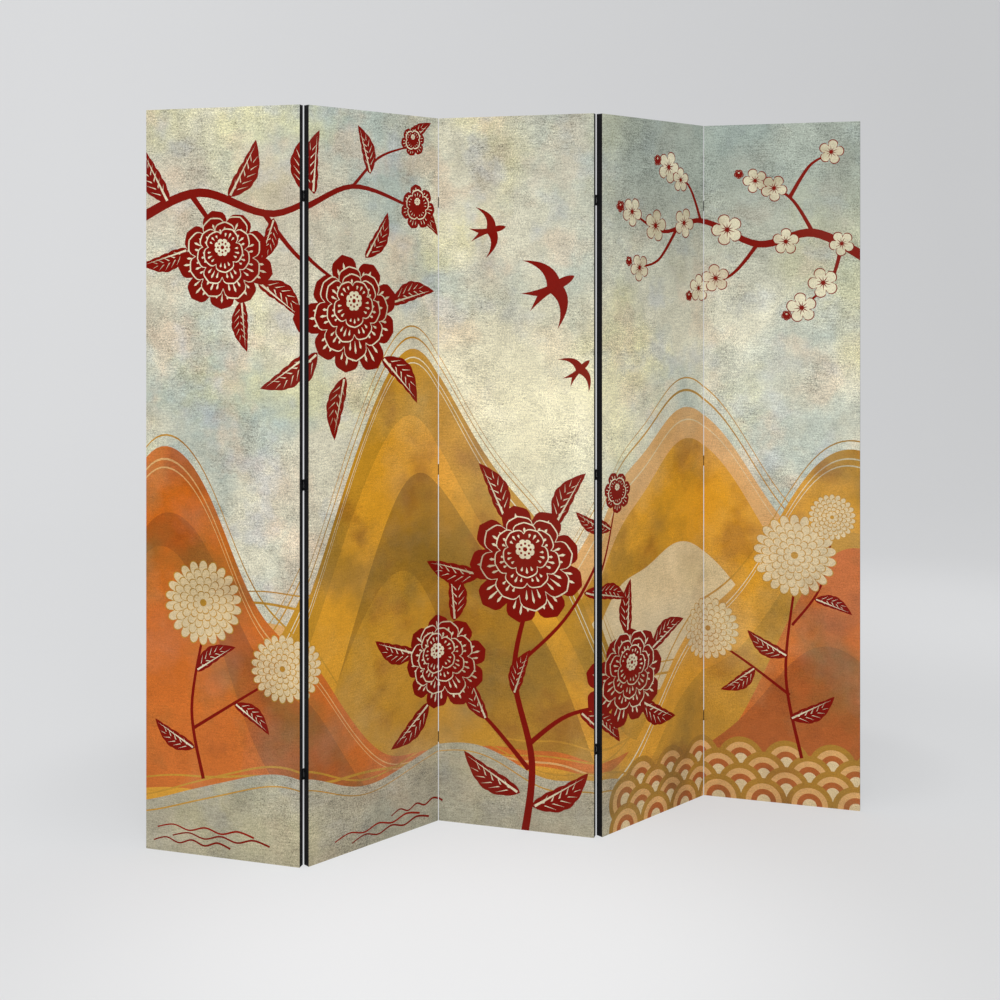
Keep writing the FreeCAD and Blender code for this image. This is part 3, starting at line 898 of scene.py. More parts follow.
@dataclass(frozen=True)
class BlackCloth:
    """Black polyester lining cloth, plain woven, stretched round the frame.

    To the eye it is a soft black with a faint sheen, uneven threads and a little lint. All sizes are in
    millimetres.
    """

    colour: str = "0B0A0C"
    light_colour: str = "1F1E20"
    lint_colour: str = "2C2B2D"
    lint_size: float = 2.4
    # the real threads are 0.4 mm apart, drawn at 2 mm so that they show
    thread_spacing: float = 2.0
    slub_length: float = 90.0
    slub_width: float = 3.0
    wave_size: float = 110.0
    roughness: float = 0.7

    def build(self) -> Material:
        """Makes the material. It reads the cloth's own map in metres."""
        nodes = Nodes("black_polyester_cloth")
        cut = nodes.add("ShaderNodeUVMap", uv_map="cut").outputs[0]
        between, plus, times = nodes.between, nodes.plus, nodes.times

        def noise(across: float, up: float, detail: float) -> Any:
            """A random pattern whose spots have a given size across and up."""
            return nodes.noise(nodes.drawn_out(cut, (1 / (across * MM), 1 / (up * MM), 1.0)), 1.0, detail)

        weave = nodes.weave(cut, self.thread_spacing, Distortion=0.6, Detail=1.0)
        long, thin = self.slub_length, self.slub_width
        slubs = plus(noise(thin, long, 3.0), noise(long, thin, 3.0))
        shade = plus(between(slubs, 0.78, 1.22, 0.0, 0.8), times(weave, 0.35))
        colour = nodes.blend(shade, self.colour, self.light_colour)
        lint = between(noise(self.lint_size, self.lint_size, 1.0), 0.74, 0.8)
        relief = plus(times(weave, 0.12), times(slubs, 0.3))
        relief = plus(relief, times(noise(self.wave_size, self.wave_size, 2.0), 1.6))
        return nodes.finished({
            "Base Color": nodes.blend(lint, colour, self.lint_colour),
            "Normal": nodes.bump(relief, 0.6, 0.002),
            "Roughness": self.roughness,
            "Specular IOR Level": 0.17,
            "Sheen Weight": 0.03,
        })


@dataclass(frozen=True)
class PaintedSteel:
    """Steel strip and wire, painted a satin black. To the eye it is a smooth dark gleam."""

    name: str = "black_painted_steel"
    colour: str = "131315"
    worn_colour: str = "252423"
    roughness: float = 0.42

    def build(self) -> Material:
        """Makes the material. It reads Object coordinates."""
        nodes = Nodes(self.name)
        fine = nodes.noise(nodes.add("ShaderNodeTexCoord").outputs["Object"], 900.0, 4.0)
        wear = nodes.between(fine, 0.58, 0.78, 0.0, 0.7)
        return nodes.finished({
            "Base Color": nodes.blend(wear, self.colour, self.worn_colour),
            "Normal": nodes.bump(fine, 0.15, 0.00005),
            "Roughness": nodes.between(fine, 0.0, 1.0, self.roughness - 0.08, self.roughness + 0.12),
        })


@dataclass(frozen=True)
class FirWood:
    """Planed fir battens, left raw. To the eye pale yellow-brown with darker lines along the batten."""

    upright: bool = True
    pale: str = "D8BC8C"
    dark: str = "B08850"
    ring_spacing: float = 2.4
    drawn_along: float = 26.0

    def build(self) -> Material:
        """Makes the material. It reads Object coordinates, with the grain along Z or across it."""
        nodes = Nodes("raw_fir_upright" if self.upright else "raw_fir_level")
        ring = 1 / (self.ring_spacing * MM)
        long = ring / self.drawn_along
        scale = (ring, ring, long) if self.upright else (long, long, ring)
        place = nodes.drawn_out(nodes.add("ShaderNodeTexCoord").outputs["Object"], scale)
        grain = nodes.noise(place, 0.5, 4.0, Distortion=0.4)
        mixed = nodes.add("ShaderNodeMix", {0: 0.4, 2: grain, 3: nodes.noise(place, 3.2, 3.0)}).outputs[0]
        return nodes.finished({
            "Base Color": nodes.blend(nodes.between(mixed, 0.43, 0.58), self.pale, self.dark),
            "Normal": nodes.bump(grain, 0.25, 0.0003),
            "Roughness": 0.62,
        })


def corners_in(geom: list[Any]) -> list[bmesh.types.BMVert]:
    """The corners among what a mesh operation gives back."""
    return [part for part in geom if isinstance(part, bmesh.types.BMVert)]


def edges_in(geom: list[Any]) -> list[bmesh.types.BMEdge]:
    """The edges among what a mesh operation gives back."""
    return [part for part in geom if isinstance(part, bmesh.types.BMEdge)]


def thicken(bm: Mesh, step: tuple[float, float, float]) -> list[bmesh.types.BMVert]:
    """Extrudes all of a mesh's faces along a step, and gives the corners at the far side."""
    far = corners_in(bmesh.ops.extrude_face_region(bm, geom=bm.faces[:])["geom"])
    bmesh.ops.translate(bm, vec=step, verts=far)
    return far


def turned(profile: tuple[Point, ...], sides: int) -> Mesh:
    """Turns a line of radii and heights into a round body about its own Z axis."""
    bm = bmesh.new()
    verts = [bm.verts.new((radius, 0.0, height)) for radius, height in profile]
    edges = [bm.edges.new(pair) for pair in zip(verts, verts[1:])]
    bmesh.ops.spin(bm, geom=verts + edges, cent=(0, 0, 0), axis=(0, 0, 1), angle=math.tau, steps=sides,
                   use_merge=True)
    return bm


def rounded(bm: Mesh, geom: list[Any], radius: float, segments: int, affect: str = "EDGES") -> None:
    """Rounds off some edges, or the corners of a flat sheet."""
    bmesh.ops.bevel(bm, geom=geom, offset=radius, offset_type="OFFSET", segments=segments, profile=0.5,
                    affect=affect, material=-1)


def join(bm: Mesh, part: Mesh, place: Matrix) -> None:
    """Adds a part to a mesh, moved from its own axes to the mesh's. The part is used up."""
    bmesh.ops.transform(part, matrix=place, verts=part.verts)
    carrier = bpy.data.meshes.new("carrier")
    part.to_mesh(carrier)
    part.free()
    bm.from_mesh(carrier)
    bpy.data.meshes.remove(carrier)


def new_object(bm: Mesh, name: str, finish: Material) -> Piece:
    """Turns a mesh into an object of one finish at the room's origin. The mesh is used up."""
    bmesh.ops.recalc_face_normals(bm, faces=bm.faces)
    mesh = bpy.data.meshes.new(name)
    bm.to_mesh(mesh)
    bm.free()
    mesh.materials.append(finish)
    piece = bpy.data.objects.new(name, mesh)
    bpy.context.scene.collection.objects.link(piece)
    return piece


def dress(node: str, finish: Material) -> None:
    """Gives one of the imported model's own pieces a finish."""
    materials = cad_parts[node].data.materials
    for k in range(len(materials)):
        materials[k] = finish
    if not materials:
        materials.append(finish)


@dataclass
class Panel:
    """One panel: its place in the zigzag, and the cloth on its two faces.

    Its own axes run along the width, to the back and up, from the lower front left corner, in millimetres.
    """

    number: int
    left: float
    front: float
    turn: float
    width: float = 395.0
    height: float = 1750.0
    depth: float = 18.0
    canvas: float = 0.6
    cloth: float = 0.6
    cloth_radius: float = 0.5
    batten: float = 32.0
    sag: float = 0.7
    sag_run: float = 26.0
    sag_steps: tuple[float, ...] = (0.0, 0.15, 0.4, 0.7, 1.0)

    @property
    def name(self) -> str:
        """The name of the panel's body, which its pieces' names start with."""
        return f"panel_{self.number}"

    @property
    def stiles(self) -> list[str]:
        """The uprights that the cloths are stretched on."""
        return [f"{self.name}_left_stile", f"{self.name}_right_stile"]

    def finished(self, bm: Mesh, name: str, finish: Material, node: str, slot: str, body: str | None = None,
                 smooth: bool = True) -> Piece:
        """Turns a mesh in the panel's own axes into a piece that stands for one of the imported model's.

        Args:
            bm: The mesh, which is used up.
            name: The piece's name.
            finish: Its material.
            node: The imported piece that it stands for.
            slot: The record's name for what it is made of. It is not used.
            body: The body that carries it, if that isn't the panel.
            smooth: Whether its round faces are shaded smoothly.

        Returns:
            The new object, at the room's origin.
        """
        around = Matrix.Rotation(math.radians(self.turn), 4, "Z")
        to_room = Matrix.Scale(MM, 4) @ Matrix.Translation((self.left, self.front, 0.0)) @ around
        bmesh.ops.transform(bm, matrix=to_room, verts=bm.verts)
        piece = new_object(bm, name, finish)
        if smooth:
            piece.data.shade_smooth()
            piece.data.set_sharp_from_angle(angle=SHARP_ANGLE)
        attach(piece, body or self.name)
        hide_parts(node)
        log.info("%s: %d faces", name, len(piece.data.polygons))
        return piece

    def front_canvas(self, shapes: list[Shape], ground: Ink, finish: Material) -> Piece:
        """Cuts the print into patches that meet edge to edge, and gives the sheet its thickness.

        Args:
            shapes: The whole strip's patches, the hindmost first.
            ground: The ink under them all.
            finish: The printed canvas.

        Returns:
            The canvas sheet.
        """
        start = self.width * (self.number - 1)
        own = [s for s in shapes if s.span()[1] > start and s.span()[0] < start + self.width]
        wide, high = self.width, self.height
        points = [Vector(corner) for corner in ((0, 0), (wide, 0), (wide, high), (0, high))]
        outlines = [[0, 1, 2, 3]]
        for shape in own:
            first = len(points)
            points += [Vector((u - start, v)) for u, v in shape.turned_left()]
            outlines.append(list(range(first, len(points))))
        spots, _, patches, _, _, covers = delaunay_2d_cdt(points, [], outlines, 1, 0.001)
        inks = [ground, *[shape.ink for shape in own]]

        bm = bmesh.new()
        ink_layer = bm.loops.layers.float_color.new("ink")
        strip_layer = bm.loops.layers.uv.new("strip")
        kept = []
        for patch, cover in zip(patches, covers):
            u = sum(spots[k].x for k in patch) / len(patch)
            v = sum(spots[k].y for k in patch) / len(patch)
            if 0 < u < wide and 0 < v < high:
                tops = (k for k in sorted(cover, reverse=True) if k and own[k - 1].holds(start + u, v))
                kept.append((patch, next(tops, 0)))
        used = sorted({k for patch, _ in kept for k in patch})
        verts = {k: bm.verts.new((spots[k].x, 0.0, spots[k].y)) for k in used}
        for patch, top in kept:
            face = bm.faces.new([verts[k] for k in patch])
            for loop in face.loops:
                loop[ink_layer] = inks[top].corner_value
                loop[strip_layer].uv = ((start + loop.vert.co.x) * MM, loop.vert.co.z * MM)
        thicken(bm, (0.0, self.canvas, 0.0))
        bm.normal_update()
        for face in bm.faces:
            if abs(face.normal.y) < 0.5:
                for loop in face.loops:
                    loop[ink_layer] = Ink.SELVAGE.corner_value
        piece = self.finished(bm, f"{self.name}_canvas", finish, f"{self.name}_front_canvas",
                              "printed_canvas", smooth=False)
        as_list(self.stiles)
        return piece

    def fields(self) -> tuple[list[Point], list[Point]]:
        """The open spans between the battens, across the panel and up it."""
        inner = self.cloth + self.batten
        middle = self.height / 2
        rows = [(inner, middle - self.batten / 2), (middle + self.batten / 2, self.height - inner)]
        return [(inner, self.width - inner)], rows

    def sunk(self, place: float, spans: list[Point]) -> float:
        """How far the cloth has sunk at a place, from 0 on a batten to 1 well inside an open span."""
        inside = max(min(place - low, high - place) for low, high in spans)
        share = min(max(inside / self.sag_run, 0.0), 1.0)
        return share * share * (3 - 2 * share)

    def back_cloth(self, finish: Material) -> Piece:
        """Makes the cloth on the back, which turns round all four edges up to the canvas.

        It sinks a little between the battens, so they show through as they do on a stretched canvas.

        Args:
            finish: The black cloth.

        Returns:
            The cloth sheet.
        """
        bm = bmesh.new()
        cut_layer = bm.loops.layers.uv.new("cut")
        wrap = self.depth - self.canvas
        middle = (self.width / 2, self.canvas + wrap / 2, self.height / 2)
        bmesh.ops.create_cube(bm, size=1.0)
        bmesh.ops.scale(bm, vec=(self.width, wrap, self.height), verts=bm.verts)
        bmesh.ops.translate(bm, vec=middle, verts=bm.verts)
        opening = [face for face in bm.faces if face.normal.y < -0.5]
        bmesh.ops.delete(bm, geom=opening, context="FACES_ONLY")
        folds = [edge for edge in bm.edges if not edge.is_boundary]
        rounded(bm, folds, self.cloth_radius, 3)
        columns, rows = self.fields()
        for spans, direction in ((columns, Vector((1, 0, 0))), (rows, Vector((0, 0, 1)))):
            for low, high in spans:
                for step in self.sag_steps:
                    for place in (low + step * self.sag_run, high - step * self.sag_run):
                        bmesh.ops.bisect_plane(bm, geom=bm.verts[:] + bm.edges[:] + bm.faces[:], dist=1e-4,
                                               plane_co=place * direction, plane_no=direction)
        for vert in bm.verts:
            if vert.co.y > self.depth - 1e-3:
                vert.co.y -= self.sag * self.sunk(vert.co.x, columns) * self.sunk(vert.co.z, rows)
        bmesh.ops.solidify(bm, geom=bm.faces[:], thickness=self.cloth)
        bmesh.ops.recalc_face_normals(bm, faces=bm.faces)
        for face in bm.faces:
            side, level = abs(face.normal.x) > 0.7, abs(face.normal.z) > 0.7
            for loop in face.loops:
                x, y, z = loop.vert.co
                loop[cut_layer].uv = ((y if side else x) * MM, (y if level else z) * MM)
        piece = self.finished(bm, f"{self.name}_lining", finish, f"{self.name}_back_cloth", "black_cloth",
                              smooth=False)
        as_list(self.stiles)
        return piece

    def dress_frame(self, upright: Material, level: Material) -> None:
        """Gives the frame's battens their finish."""
        for stile in self.stiles:
            dress(stile, upright)
        for rail in ("bottom", "middle", "top"):
            dress(f"{self.name}_{rail}_rail", level)

    def edge_place(self, on_right: bool, level: float) -> Matrix:
        """The move from a hinge's own axes to this panel's.

        Args:
            on_right: Whether the leaf sits on the panel's right edge. Its knuckles are then at the front.
            level: The height of the hinge's middle.

        Returns:
            The move, for axes out of the edge, along it from the leaf's pin, and up.
        """
        if on_right:
            return Matrix.Translation((self.width, FRONT_PIN, level))
        return Matrix.Translation((0.0, self.depth + BACK_PIN, level)) @ Matrix.Rotation(math.pi, 4, "Z")

    def hinge_screws(self, finish: Material) -> Piece:
        """Makes the screws that hold the hinges' leaves on this panel."""
        hinge, screw = TwoWayHinge(), WoodScrew()
        bm = bmesh.new()
        sides = [side for side in (True, False) if self.number != (PANEL_COUNT if side else 1)]
        for side in sides:
            for k, level in enumerate(hinge.levels):
                for half in (-1, 1):
                    along = self.depth / 2 - FRONT_PIN if side else self.depth / 2 + BACK_PIN
                    spot = Matrix.Translation((hinge.leaf, along, half * hinge.screw_pitch / 2))
                    driven = Matrix.Rotation(LEVEL_TURN * k + HALF_TURN * half + self.number, 4, "Z")
                    lying = Matrix.Rotation(math.pi / 2, 4, "Y") @ driven
                    join(bm, screw.mesh(), self.edge_place(side, level) @ spot @ lying)
        return self.finished(bm, f"{self.name}_countersunk_screws", finish, f"{self.name}_hinge_screws",
                             "screw_steel")


@dataclass(frozen=True)
class WoodScrew:
    """A countersunk wood screw with a cross recess. It points down its own Z axis, in millimetres."""

    head: float = 2.0
    core: float = 0.92
    thread: float = 1.24
    neck: float = 1.08
    neck_end: float = 3.2
    core_start: float = 3.5
    point: float = 1.8
    tip: float = 0.05
    length: float = 11.0
    pitch: float = 1.5
    half_ridge: float = 0.35
    recess: float = 0.75
    arm: float = 1.15
    half_arm: float = 0.27
    taper: float = 0.6
    # how far above the tip the thread starts, and how deep its root lies in the core
    thread_end: float = 2.0
    bite: float = 0.1
    sides: int = 24
    turn_sides: int = 14

    def mesh(self) -> Mesh:
        """Turns the head and shank, winds the thread and sinks the recess."""
        profile = (
            (self.head, 0.0), (self.neck, self.neck - self.head), (self.neck, -self.neck_end),
            (self.core, -self.core_start), (self.core, self.point - self.length), (self.tip, -self.length),
        )
        bm = turned(profile, self.sides)
        end = [edge for edge in bm.edges if edge.is_boundary and edge.verts[0].co.z < -self.neck_end]
        bmesh.ops.holes_fill(bm, edges=end, sides=self.sides)
        self.top(bm)
        self.wind(bm)
        return bm

    def top(self, bm: Mesh) -> None:
        """Closes the head with a flat face that has a tapered cross sunk into it."""
        rim = [edge for edge in bm.edges if edge.is_boundary]
        corner = ((self.arm, -self.half_arm), (self.arm, self.half_arm), (self.half_arm, self.half_arm))
        turns = [Matrix.Rotation(math.pi / 2 * k, 4, "Z") for k in range(4)]
        verts = [bm.verts.new(turn @ Vector((*xy, 0.0))) for turn in turns for xy in corner]
        edges = [bm.edges.new(pair) for pair in zip(verts, verts[1:] + verts[:1])]
        bmesh.ops.triangle_fill(bm, edges=rim + edges, use_beauty=True, normal=(0, 0, 1))
        sunk = bmesh.ops.extrude_edge_only(bm, edges=edges)["geom"]
        bmesh.ops.scale(bm, vec=(self.taper, self.taper, 1.0), verts=corners_in(sunk))
        bmesh.ops.translate(bm, vec=(0.0, 0.0, -self.recess), verts=corners_in(sunk))
        bmesh.ops.edgeloop_fill(bm, edges=edges_in(sunk))

    def wind(self, bm: Mesh) -> None:
        """Winds the thread round the core as a ridge of three edges."""
        low, high = self.thread_end - self.length, -self.core_start - self.bite
        turns = (high - low) / self.pitch
        steps = int(turns * self.turn_sides)
        root = self.core - self.bite
        ridge = ((root, low - self.half_ridge), (self.thread, low), (root, low + self.half_ridge))
        face = bm.faces.new([bm.verts.new((radius, 0.0, height)) for radius, height in ridge])
        bmesh.ops.spin(bm, geom=[face], cent=(0, 0, 0), axis=(0, 0, 1), angle=math.tau * turns, steps=steps,
                       dvec=(0, 0, turns * self.pitch / steps))


@dataclass(frozen=True)
class TwoWayHinge:
    """One two-way hinge of folded steel: two leaves, the link between them and two pins.

    Its axes run out of the panel's edge, along the edge from the piece's pin, and up from the hinge's
    middle, in millimetres. The link and the pins are centred on the front pin instead.
    """

    levels: tuple[float, ...] = (209.0, 875.0, 1541.0)
    height: float = 26.0
    leaf: float = 0.5
    rolled: float = 0.4
    roll: float = 290.0
    link: float = 0.8
    pin: float = 0.45
    bore: float = 0.5
    knuckle: float = 0.9
    pin_out: float = 1.0
    plate_from: float = 1.0
    plate_to: float = 18.2
    pin_gap: float = 19.2
    leaf_knuckle: float = 7.0
    link_knuckle: float = 11.8
    tongue: float = 0.55
    tongue_at: float = 0.92
    overhang: float = 0.4
    screw_pitch: float = 14.0
    seat: float = 2.03
    corner: float = 1.4
    # a pin's domed end: shares of its radius, and how far below its tip they are
    dome: tuple[Point, ...] = ((0.0, 0.0), (0.72, 0.06), (1.0, 0.22))

    def plate(self, bm: Mesh, inside: float, outside: float, beyond: float, holes: list[Point]) -> None:
        """Adds a flat plate with rounded corners and countersunk holes.

        Args:
            bm: The mesh that grows.
            inside: Where its face towards the panel is.
            outside: Where its other face is.
            beyond: Only corners farther from the pin than this are rounded.
            holes: The middles of the holes, along the edge and up.
        """
        part = bmesh.new()
        bmesh.ops.create_grid(part, x_segments=1, y_segments=1, size=0.5)
        bmesh.ops.rotate(part, matrix=Matrix.Rotation(math.pi / 2, 3, "Y"), verts=part.verts)
        bmesh.ops.scale(part, vec=(1.0, self.plate_to - self.plate_from, self.height), verts=part.verts)
        bmesh.ops.translate(part, vec=(inside, (self.plate_to + self.plate_from) / 2, 0.0), verts=part.verts)
        corners = [vert for vert in part.verts if vert.co.y > beyond]
        rounded(part, corners, self.corner, 5, "VERTICES")
        narrow = self.seat - (outside - inside)
        if holes:
            bmesh.ops.delete(part, geom=part.faces[:], context="FACES_ONLY")
            for along, up in holes:
                lying = Matrix.Translation((inside, along, up)) @ Matrix.Rotation(math.pi / 2, 4, "Y")
                bmesh.ops.create_circle(part, cap_ends=False, radius=narrow, segments=24, matrix=lying)
            bmesh.ops.triangle_fill(part, edges=part.edges[:], use_beauty=True, normal=(1, 0, 0))
        outer = thicken(part, (outside - inside, 0.0, 0.0))
        for along, up in holes:
            ring = [v for v in outer if math.hypot(v.co.y - along, v.co.z - up) < narrow + 0.01]
            bmesh.ops.scale(part, vec=(1.0, self.seat / narrow, self.seat / narrow), verts=ring,
                            space=Matrix.Translation((0.0, -along, -up)))
        join(bm, part, Matrix())

    def rolled_knuckle(self, bm: Mesh, low: float) -> None:
        """Adds a knuckle rolled from the leaf's own strip: straight to the pin, then round it."""
        part = bmesh.new()
        verts = [part.verts.new((out, self.plate_from, low)) for out in (self.leaf - self.rolled, self.leaf)]
        run = bmesh.ops.extrude_edge_only(part, edges=[part.edges.new(verts)])["geom"]
        end = [g for g in run if not isinstance(g, bmesh.types.BMFace)]
        bmesh.ops.translate(part, vec=(0.0, -self.plate_from, 0.0), verts=corners_in(end))
        bmesh.ops.spin(part, geom=end, cent=(self.pin_out, 0.0, low), axis=(0, 0, 1), steps=20,
                       angle=math.radians(self.roll))
        thicken(part, (0.0, 0.0, self.leaf_knuckle))
        join(bm, part, Matrix())

    def leaf_mesh(self, screws_along: float) -> Mesh:
        """Makes one leaf, a plate with two rolled knuckles, whose screws are so far from the pin."""
        bm = bmesh.new()
        holes = [(screws_along, half * self.screw_pitch / 2) for half in (-1, 1)]
        self.plate(bm, 0.0, self.leaf, self.pin_gap / 2, holes)
        self.rolled_knuckle(bm, -self.height / 2)
        self.rolled_knuckle(bm, self.height / 2 - self.leaf_knuckle)
        return bm

    def link_mesh(self) -> Mesh:
        """Makes the link: a plate between the pins, with a tongue and a barrel at each."""
        bm = bmesh.new()
        self.plate(bm, -self.link / 2, self.link / 2, 0.0, [])
        for pin_at, towards in ((0.0, 1), (self.pin_gap, -1)):
            tongue = bmesh.new()
            bmesh.ops.create_cube(tongue, size=1.0)
            bmesh.ops.scale(tongue, vec=(self.link, self.tongue, self.link_knuckle), verts=tongue.verts)
            join(bm, tongue, Matrix.Translation((0.0, pin_at + towards * self.tongue_at, 0.0)))
            barrel = bmesh.new()
            for radius in (self.knuckle, self.bore):
                bmesh.ops.create_circle(barrel, cap_ends=False, radius=radius, segments=28)
            bmesh.ops.bridge_loops(barrel, edges=barrel.edges[:])
            thicken(barrel, (0.0, 0.0, self.link_knuckle))
            join(bm, barrel, Matrix.Translation((0.0, pin_at, -self.link_knuckle / 2)))
        return bm

    def pin_mesh(self) -> Mesh:
        """Turns a pin with domed ends."""
        end = self.height / 2 + self.overhang
        half = [(self.pin * share, end - drop) for share, drop in self.dome]
        bm = turned((*((radius, -height) for radius, height in half), *reversed(half)), 20)
        bmesh.ops.remove_doubles(bm, verts=bm.verts, dist=1e-4)
        return bm


@dataclass
class Fold:
    """The three two-way hinges between two panels. An odd fold is a ridge and an even one a valley."""

    left: Panel
    right: Panel
    hinge: TwoWayHinge = TwoWayHinge()

    @property
    def name(self) -> str:
        """The start of the names of the fold's pieces. Its number is its left panel's."""
        return f"fold_{self.left.number}"

    def pins_at(self, on_left: bool) -> tuple[Panel, float]:
        """A panel of the fold, and where its own pins are across it."""
        if on_left:
            return self.left, self.left.width + self.hinge.pin_out
        return self.right, -self.hinge.pin_out

    def leaves(self, on_right: bool, finish: Material) -> Piece:
        """Makes the three leaves that one panel carries at this fold.

        Args:
            on_right: Whether they sit on the left panel's right edge, or else on the right panel's left.
            finish: The painted steel.

        Returns:
            The leaves, as one piece.
        """
        panel, side = (self.left, "left") if on_right else (self.right, "right")
        along = panel.depth / 2 + (-FRONT_PIN if on_right else BACK_PIN)
        bm = bmesh.new()
        for level in self.hinge.levels:
            join(bm, self.hinge.leaf_mesh(along), panel.edge_place(on_right, level))
        return panel.finished(bm, f"{self.name}_{side}_rolled_leaves", finish,
                              f"{self.name}_{side}_leaves", "hinge_steel")

    def links(self, finish: Material) -> Piece:
        """Makes the three links, along the left panel's edge at a ridge and the right one's at a valley."""
        panel, out = self.pins_at(self.left.number % 2 == 1)
        bm = bmesh.new()
        for level in self.hinge.levels:
            join(bm, self.hinge.link_mesh(), Matrix.Translation((out, FRONT_PIN, level)))
        return panel.finished(bm, f"{self.name}_barrelled_links", finish, f"{self.name}_links",
                              "hinge_steel", f"link_{self.left.number}")

    def pins(self, face: str, finish: Material) -> Piece:
        """Makes the three front pins, in the left panel's leaves, or the back ones, in the right one's."""
        front = face == "front"
        panel, out = self.pins_at(front)
        depth = FRONT_PIN if front else FRONT_PIN + self.hinge.pin_gap
        bm = bmesh.new()
        for level in self.hinge.levels:
            join(bm, self.hinge.pin_mesh(), Matrix.Translation((out, depth, level)))
        return panel.finished(bm, f"{self.name}_{face}_domed_pins", finish, f"{self.name}_{face}_pins",
                              "pin_steel")

    def build(self, steel: Material, wire: Material) -> None:
        """Makes all the hinges' pieces at this fold."""
        self.leaves(True, steel)
        self.leaves(False, steel)
        self.links(steel)
        self.pins("front", wire)
        self.pins("back", wire)


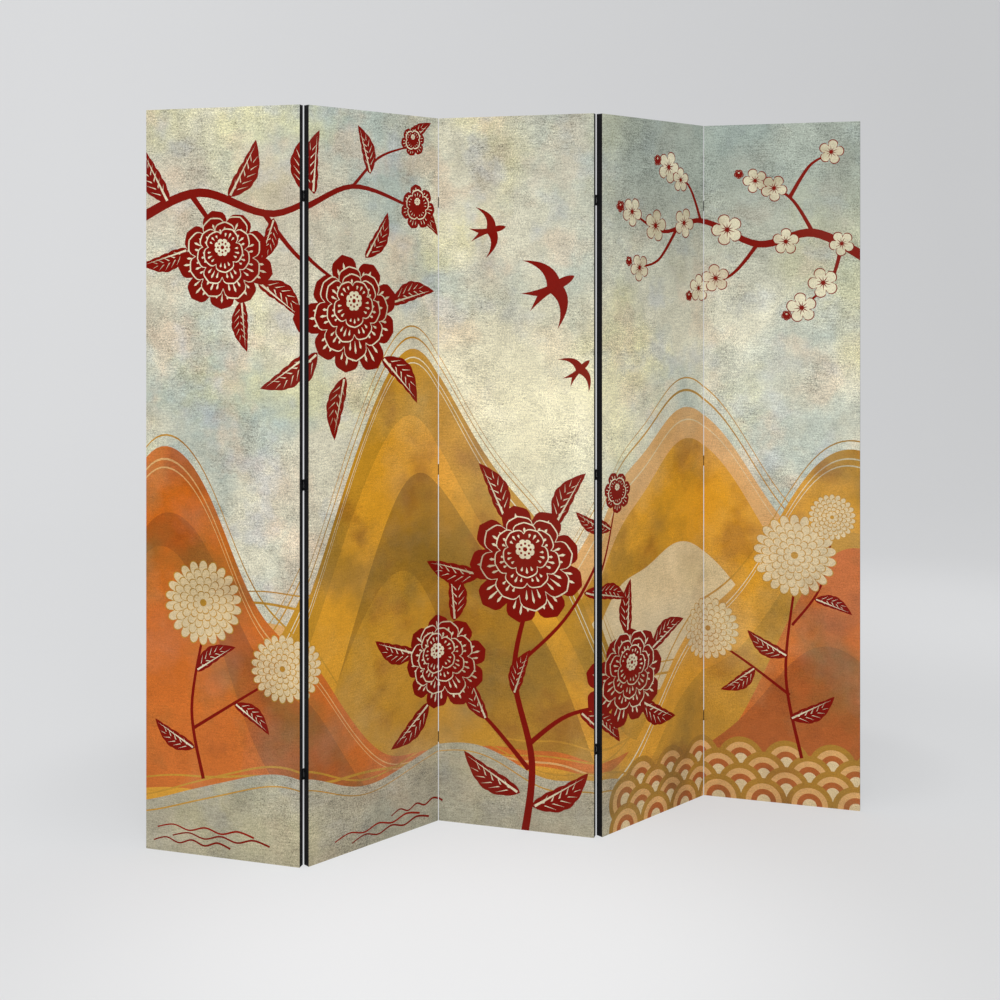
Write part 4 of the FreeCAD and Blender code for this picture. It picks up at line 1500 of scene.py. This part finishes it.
@dataclass
class Studio:
    """The pale floor that curves up behind the divider, the lamps and the camera, in metres."""

    floor_colour: str = "DADBDC"
    wall_colour: str = "DADBDD"
    front_edge: float = -40.0
    back_edge: float = 7.0
    half_width: float = 30.0
    wall_height: float = 9.0
    sweep_radius: float = 3.0
    # the share of the paper's colour that the camera sees lit by the lamps; the rest of its light is its own
    lit_share: float = 0.32
    # how bright the paper glows of itself at its left and at its right, a painted light that is stronger at
    # the left; then, for each painted pool: x, y, radius, and the brightness it adds, below 0 a painted
    # shadow
    lift: tuple[float, float] = (0.569, 0.452)
    lift_left: float = -1.5
    lift_right: float = 5.4
    pool_core: float = 0.2
    # a painted pool of light in front of the divider, another to its right, then four that paint the
    # divider's shadow on the floor behind it
    painted_pools: tuple[tuple[float, float, float, float], ...] = (
        (-0.25, -0.6, 1.1, 0.118),
        (2.2, 1.7, 1.4, 0.06),
        (-0.72, 0.52, 0.62, -0.045),
        (-0.15, 0.62, 0.62, -0.03),
        (0.4, 0.5, 0.62, -0.03),
        (0.96, 0.24, 0.42, -0.035),
    )

    def sweep(self) -> None:
        """Builds the floor and the wall as one sheet with a round sweep between them."""
        bm = bmesh.new()
        front = [bm.verts.new((side * self.half_width, self.front_edge, 0.0)) for side in (-1, 1)]
        floor = bmesh.ops.extrude_edge_only(bm, edges=[bm.edges.new(front)])["geom"]
        bmesh.ops.translate(bm, vec=(0.0, self.back_edge - self.front_edge, 0.0), verts=corners_in(floor))
        rim = edges_in(floor)
        wall = bmesh.ops.extrude_edge_only(bm, edges=rim)["geom"]
        bmesh.ops.translate(bm, vec=(0.0, 0.0, self.wall_height), verts=corners_in(wall))
        rounded(bm, rim, self.sweep_radius, 24)
        sweep = new_object(bm, "studio_sweep", self.paper())
        sweep.data.shade_smooth()

    def paper(self) -> Material:
        """Seamless matt paper. The camera sees it paler, and with softer shadows, than the lamps make it. It
        has painted light that is stronger at the left, a painted pool of light in front, another to the
        right, and a painted shadow behind the divider.
        """
        nodes = Nodes("seamless_paper")
        place = nodes.add("ShaderNodeTexCoord").outputs["Object"]
        across, depth, _ = nodes.add("ShaderNodeSeparateXYZ", {0: place}).outputs
        colour = nodes.blend(nodes.between(depth, 0.0, self.back_edge), self.floor_colour, self.wall_colour)
        seen = nodes.add("ShaderNodeLightPath").outputs["Is Camera Ray"]
        # painted light: the paper glows brighter at its left than at its right, as if lit from the left
        painted_glow = nodes.between(across, self.lift_left, self.lift_right, *self.lift)
        soft = {"interpolation_type": "SMOOTHSTEP"}
        # each painted pool adds painted light in front of the divider and to its right, or paints its shadow
        # behind it
        for x, y, radius, painted_brightness in self.painted_pools:
            away = nodes.away(place, x, y)
            painted_glow = nodes.plus(painted_glow, nodes.between(away, self.pool_core, radius, painted_brightness, 0.0, **soft))
        return nodes.finished({
            "Base Color": nodes.shaded(colour, nodes.between(seen, 0.0, 1.0, 1.0, self.lit_share)),
            "Emission Strength": nodes.times(seen, painted_glow),
            "Emission Color": (0.985, 0.99, 1.0, 1.0),
            "Roughness": 0.9,
            "Specular IOR Level": 0.1,
        })

    def lamps(self) -> None:
        """Even soft light: a pale sky all round and one broad lamp in front, above the camera."""
        world = bpy.data.worlds.new("soft_sky")
        bpy.context.scene.world = world
        world.use_nodes = True
        background = world.node_tree.nodes["Background"]
        seen = add_node(world.node_tree, "ShaderNodeLightPath").outputs["Is Camera Ray"]
        strength = add_node(world.node_tree, "ShaderNodeMapRange", {0: seen, 3: 0.55, 4: 0.64}).outputs[0]
        feed(world.node_tree, background, {"Color": (0.97, 0.985, 1.0, 1.0), "Strength": strength})
        light = bpy.data.lights.new("front_softbox", "AREA")
        light.size = 4.5
        light.energy = 230.0
        softbox = bpy.data.objects.new("front_softbox", light)
        bpy.context.scene.collection.objects.link(softbox)
        softbox.location = (-1.6, -5.4, 3.8)
        aim = Vector((0.0, 0.0, 0.8))
        softbox.rotation_euler = (aim - softbox.location).to_track_quat("-Z", "Y").to_euler()

    def camera(self) -> None:
        """Places the camera: eye height, level, with the picture shifted down to take in the floor."""
        lens = bpy.data.cameras.new("camera")
        lens.lens = 50.0
        lens.sensor_width = 36.0
        lens.shift_y = -0.2208
        camera = bpy.data.objects.new("camera", lens)
        bpy.context.scene.collection.objects.link(camera)
        camera.location = (-0.8579, -3.3076, 1.3492)
        camera.rotation_euler = (math.radians(90.0), 0.0, -0.2422)
        bpy.context.scene.camera = camera

    def build(self) -> None:
        """Sets up the whole studio."""
        self.sweep()
        self.lamps()
        self.camera()
        bpy.context.scene.view_settings.view_transform = "Standard"
        log.info("studio ready")


PANELS = (
    Panel(1, -882.364, 90.609, -30.0),
    Panel(2, -519.552, -106.891, 30.0),
    Panel(3, -175.540, 90.609, -30.0),
    Panel(4, 187.272, -106.891, 30.0),
    Panel(5, 531.284, 90.609, -30.0),
)


def main() -> None:
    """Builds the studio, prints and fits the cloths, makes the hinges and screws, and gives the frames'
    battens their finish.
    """
    Studio().build()
    artwork = Artwork()
    shapes = artwork.shapes()
    log.info("print: %d patches", len(shapes))
    canvas = PrintedCanvas().build()
    cloth = BlackCloth().build()
    upright, level = FirWood().build(), FirWood(upright=False).build()
    hinge_steel = PaintedSteel().build()
    pin_steel = PaintedSteel("black_steel_wire", "151517", "2E2C2A", 0.34).build()
    for panel in PANELS:
        panel.front_canvas(shapes, artwork.ground, canvas)
        panel.back_cloth(cloth)
        panel.dress_frame(upright, level)
        panel.hinge_screws(pin_steel)
    for left, right in zip(PANELS, PANELS[1:]):
        Fold(left, right).build(hinge_steel, pin_steel)


if __name__ == "__main__":
    main()
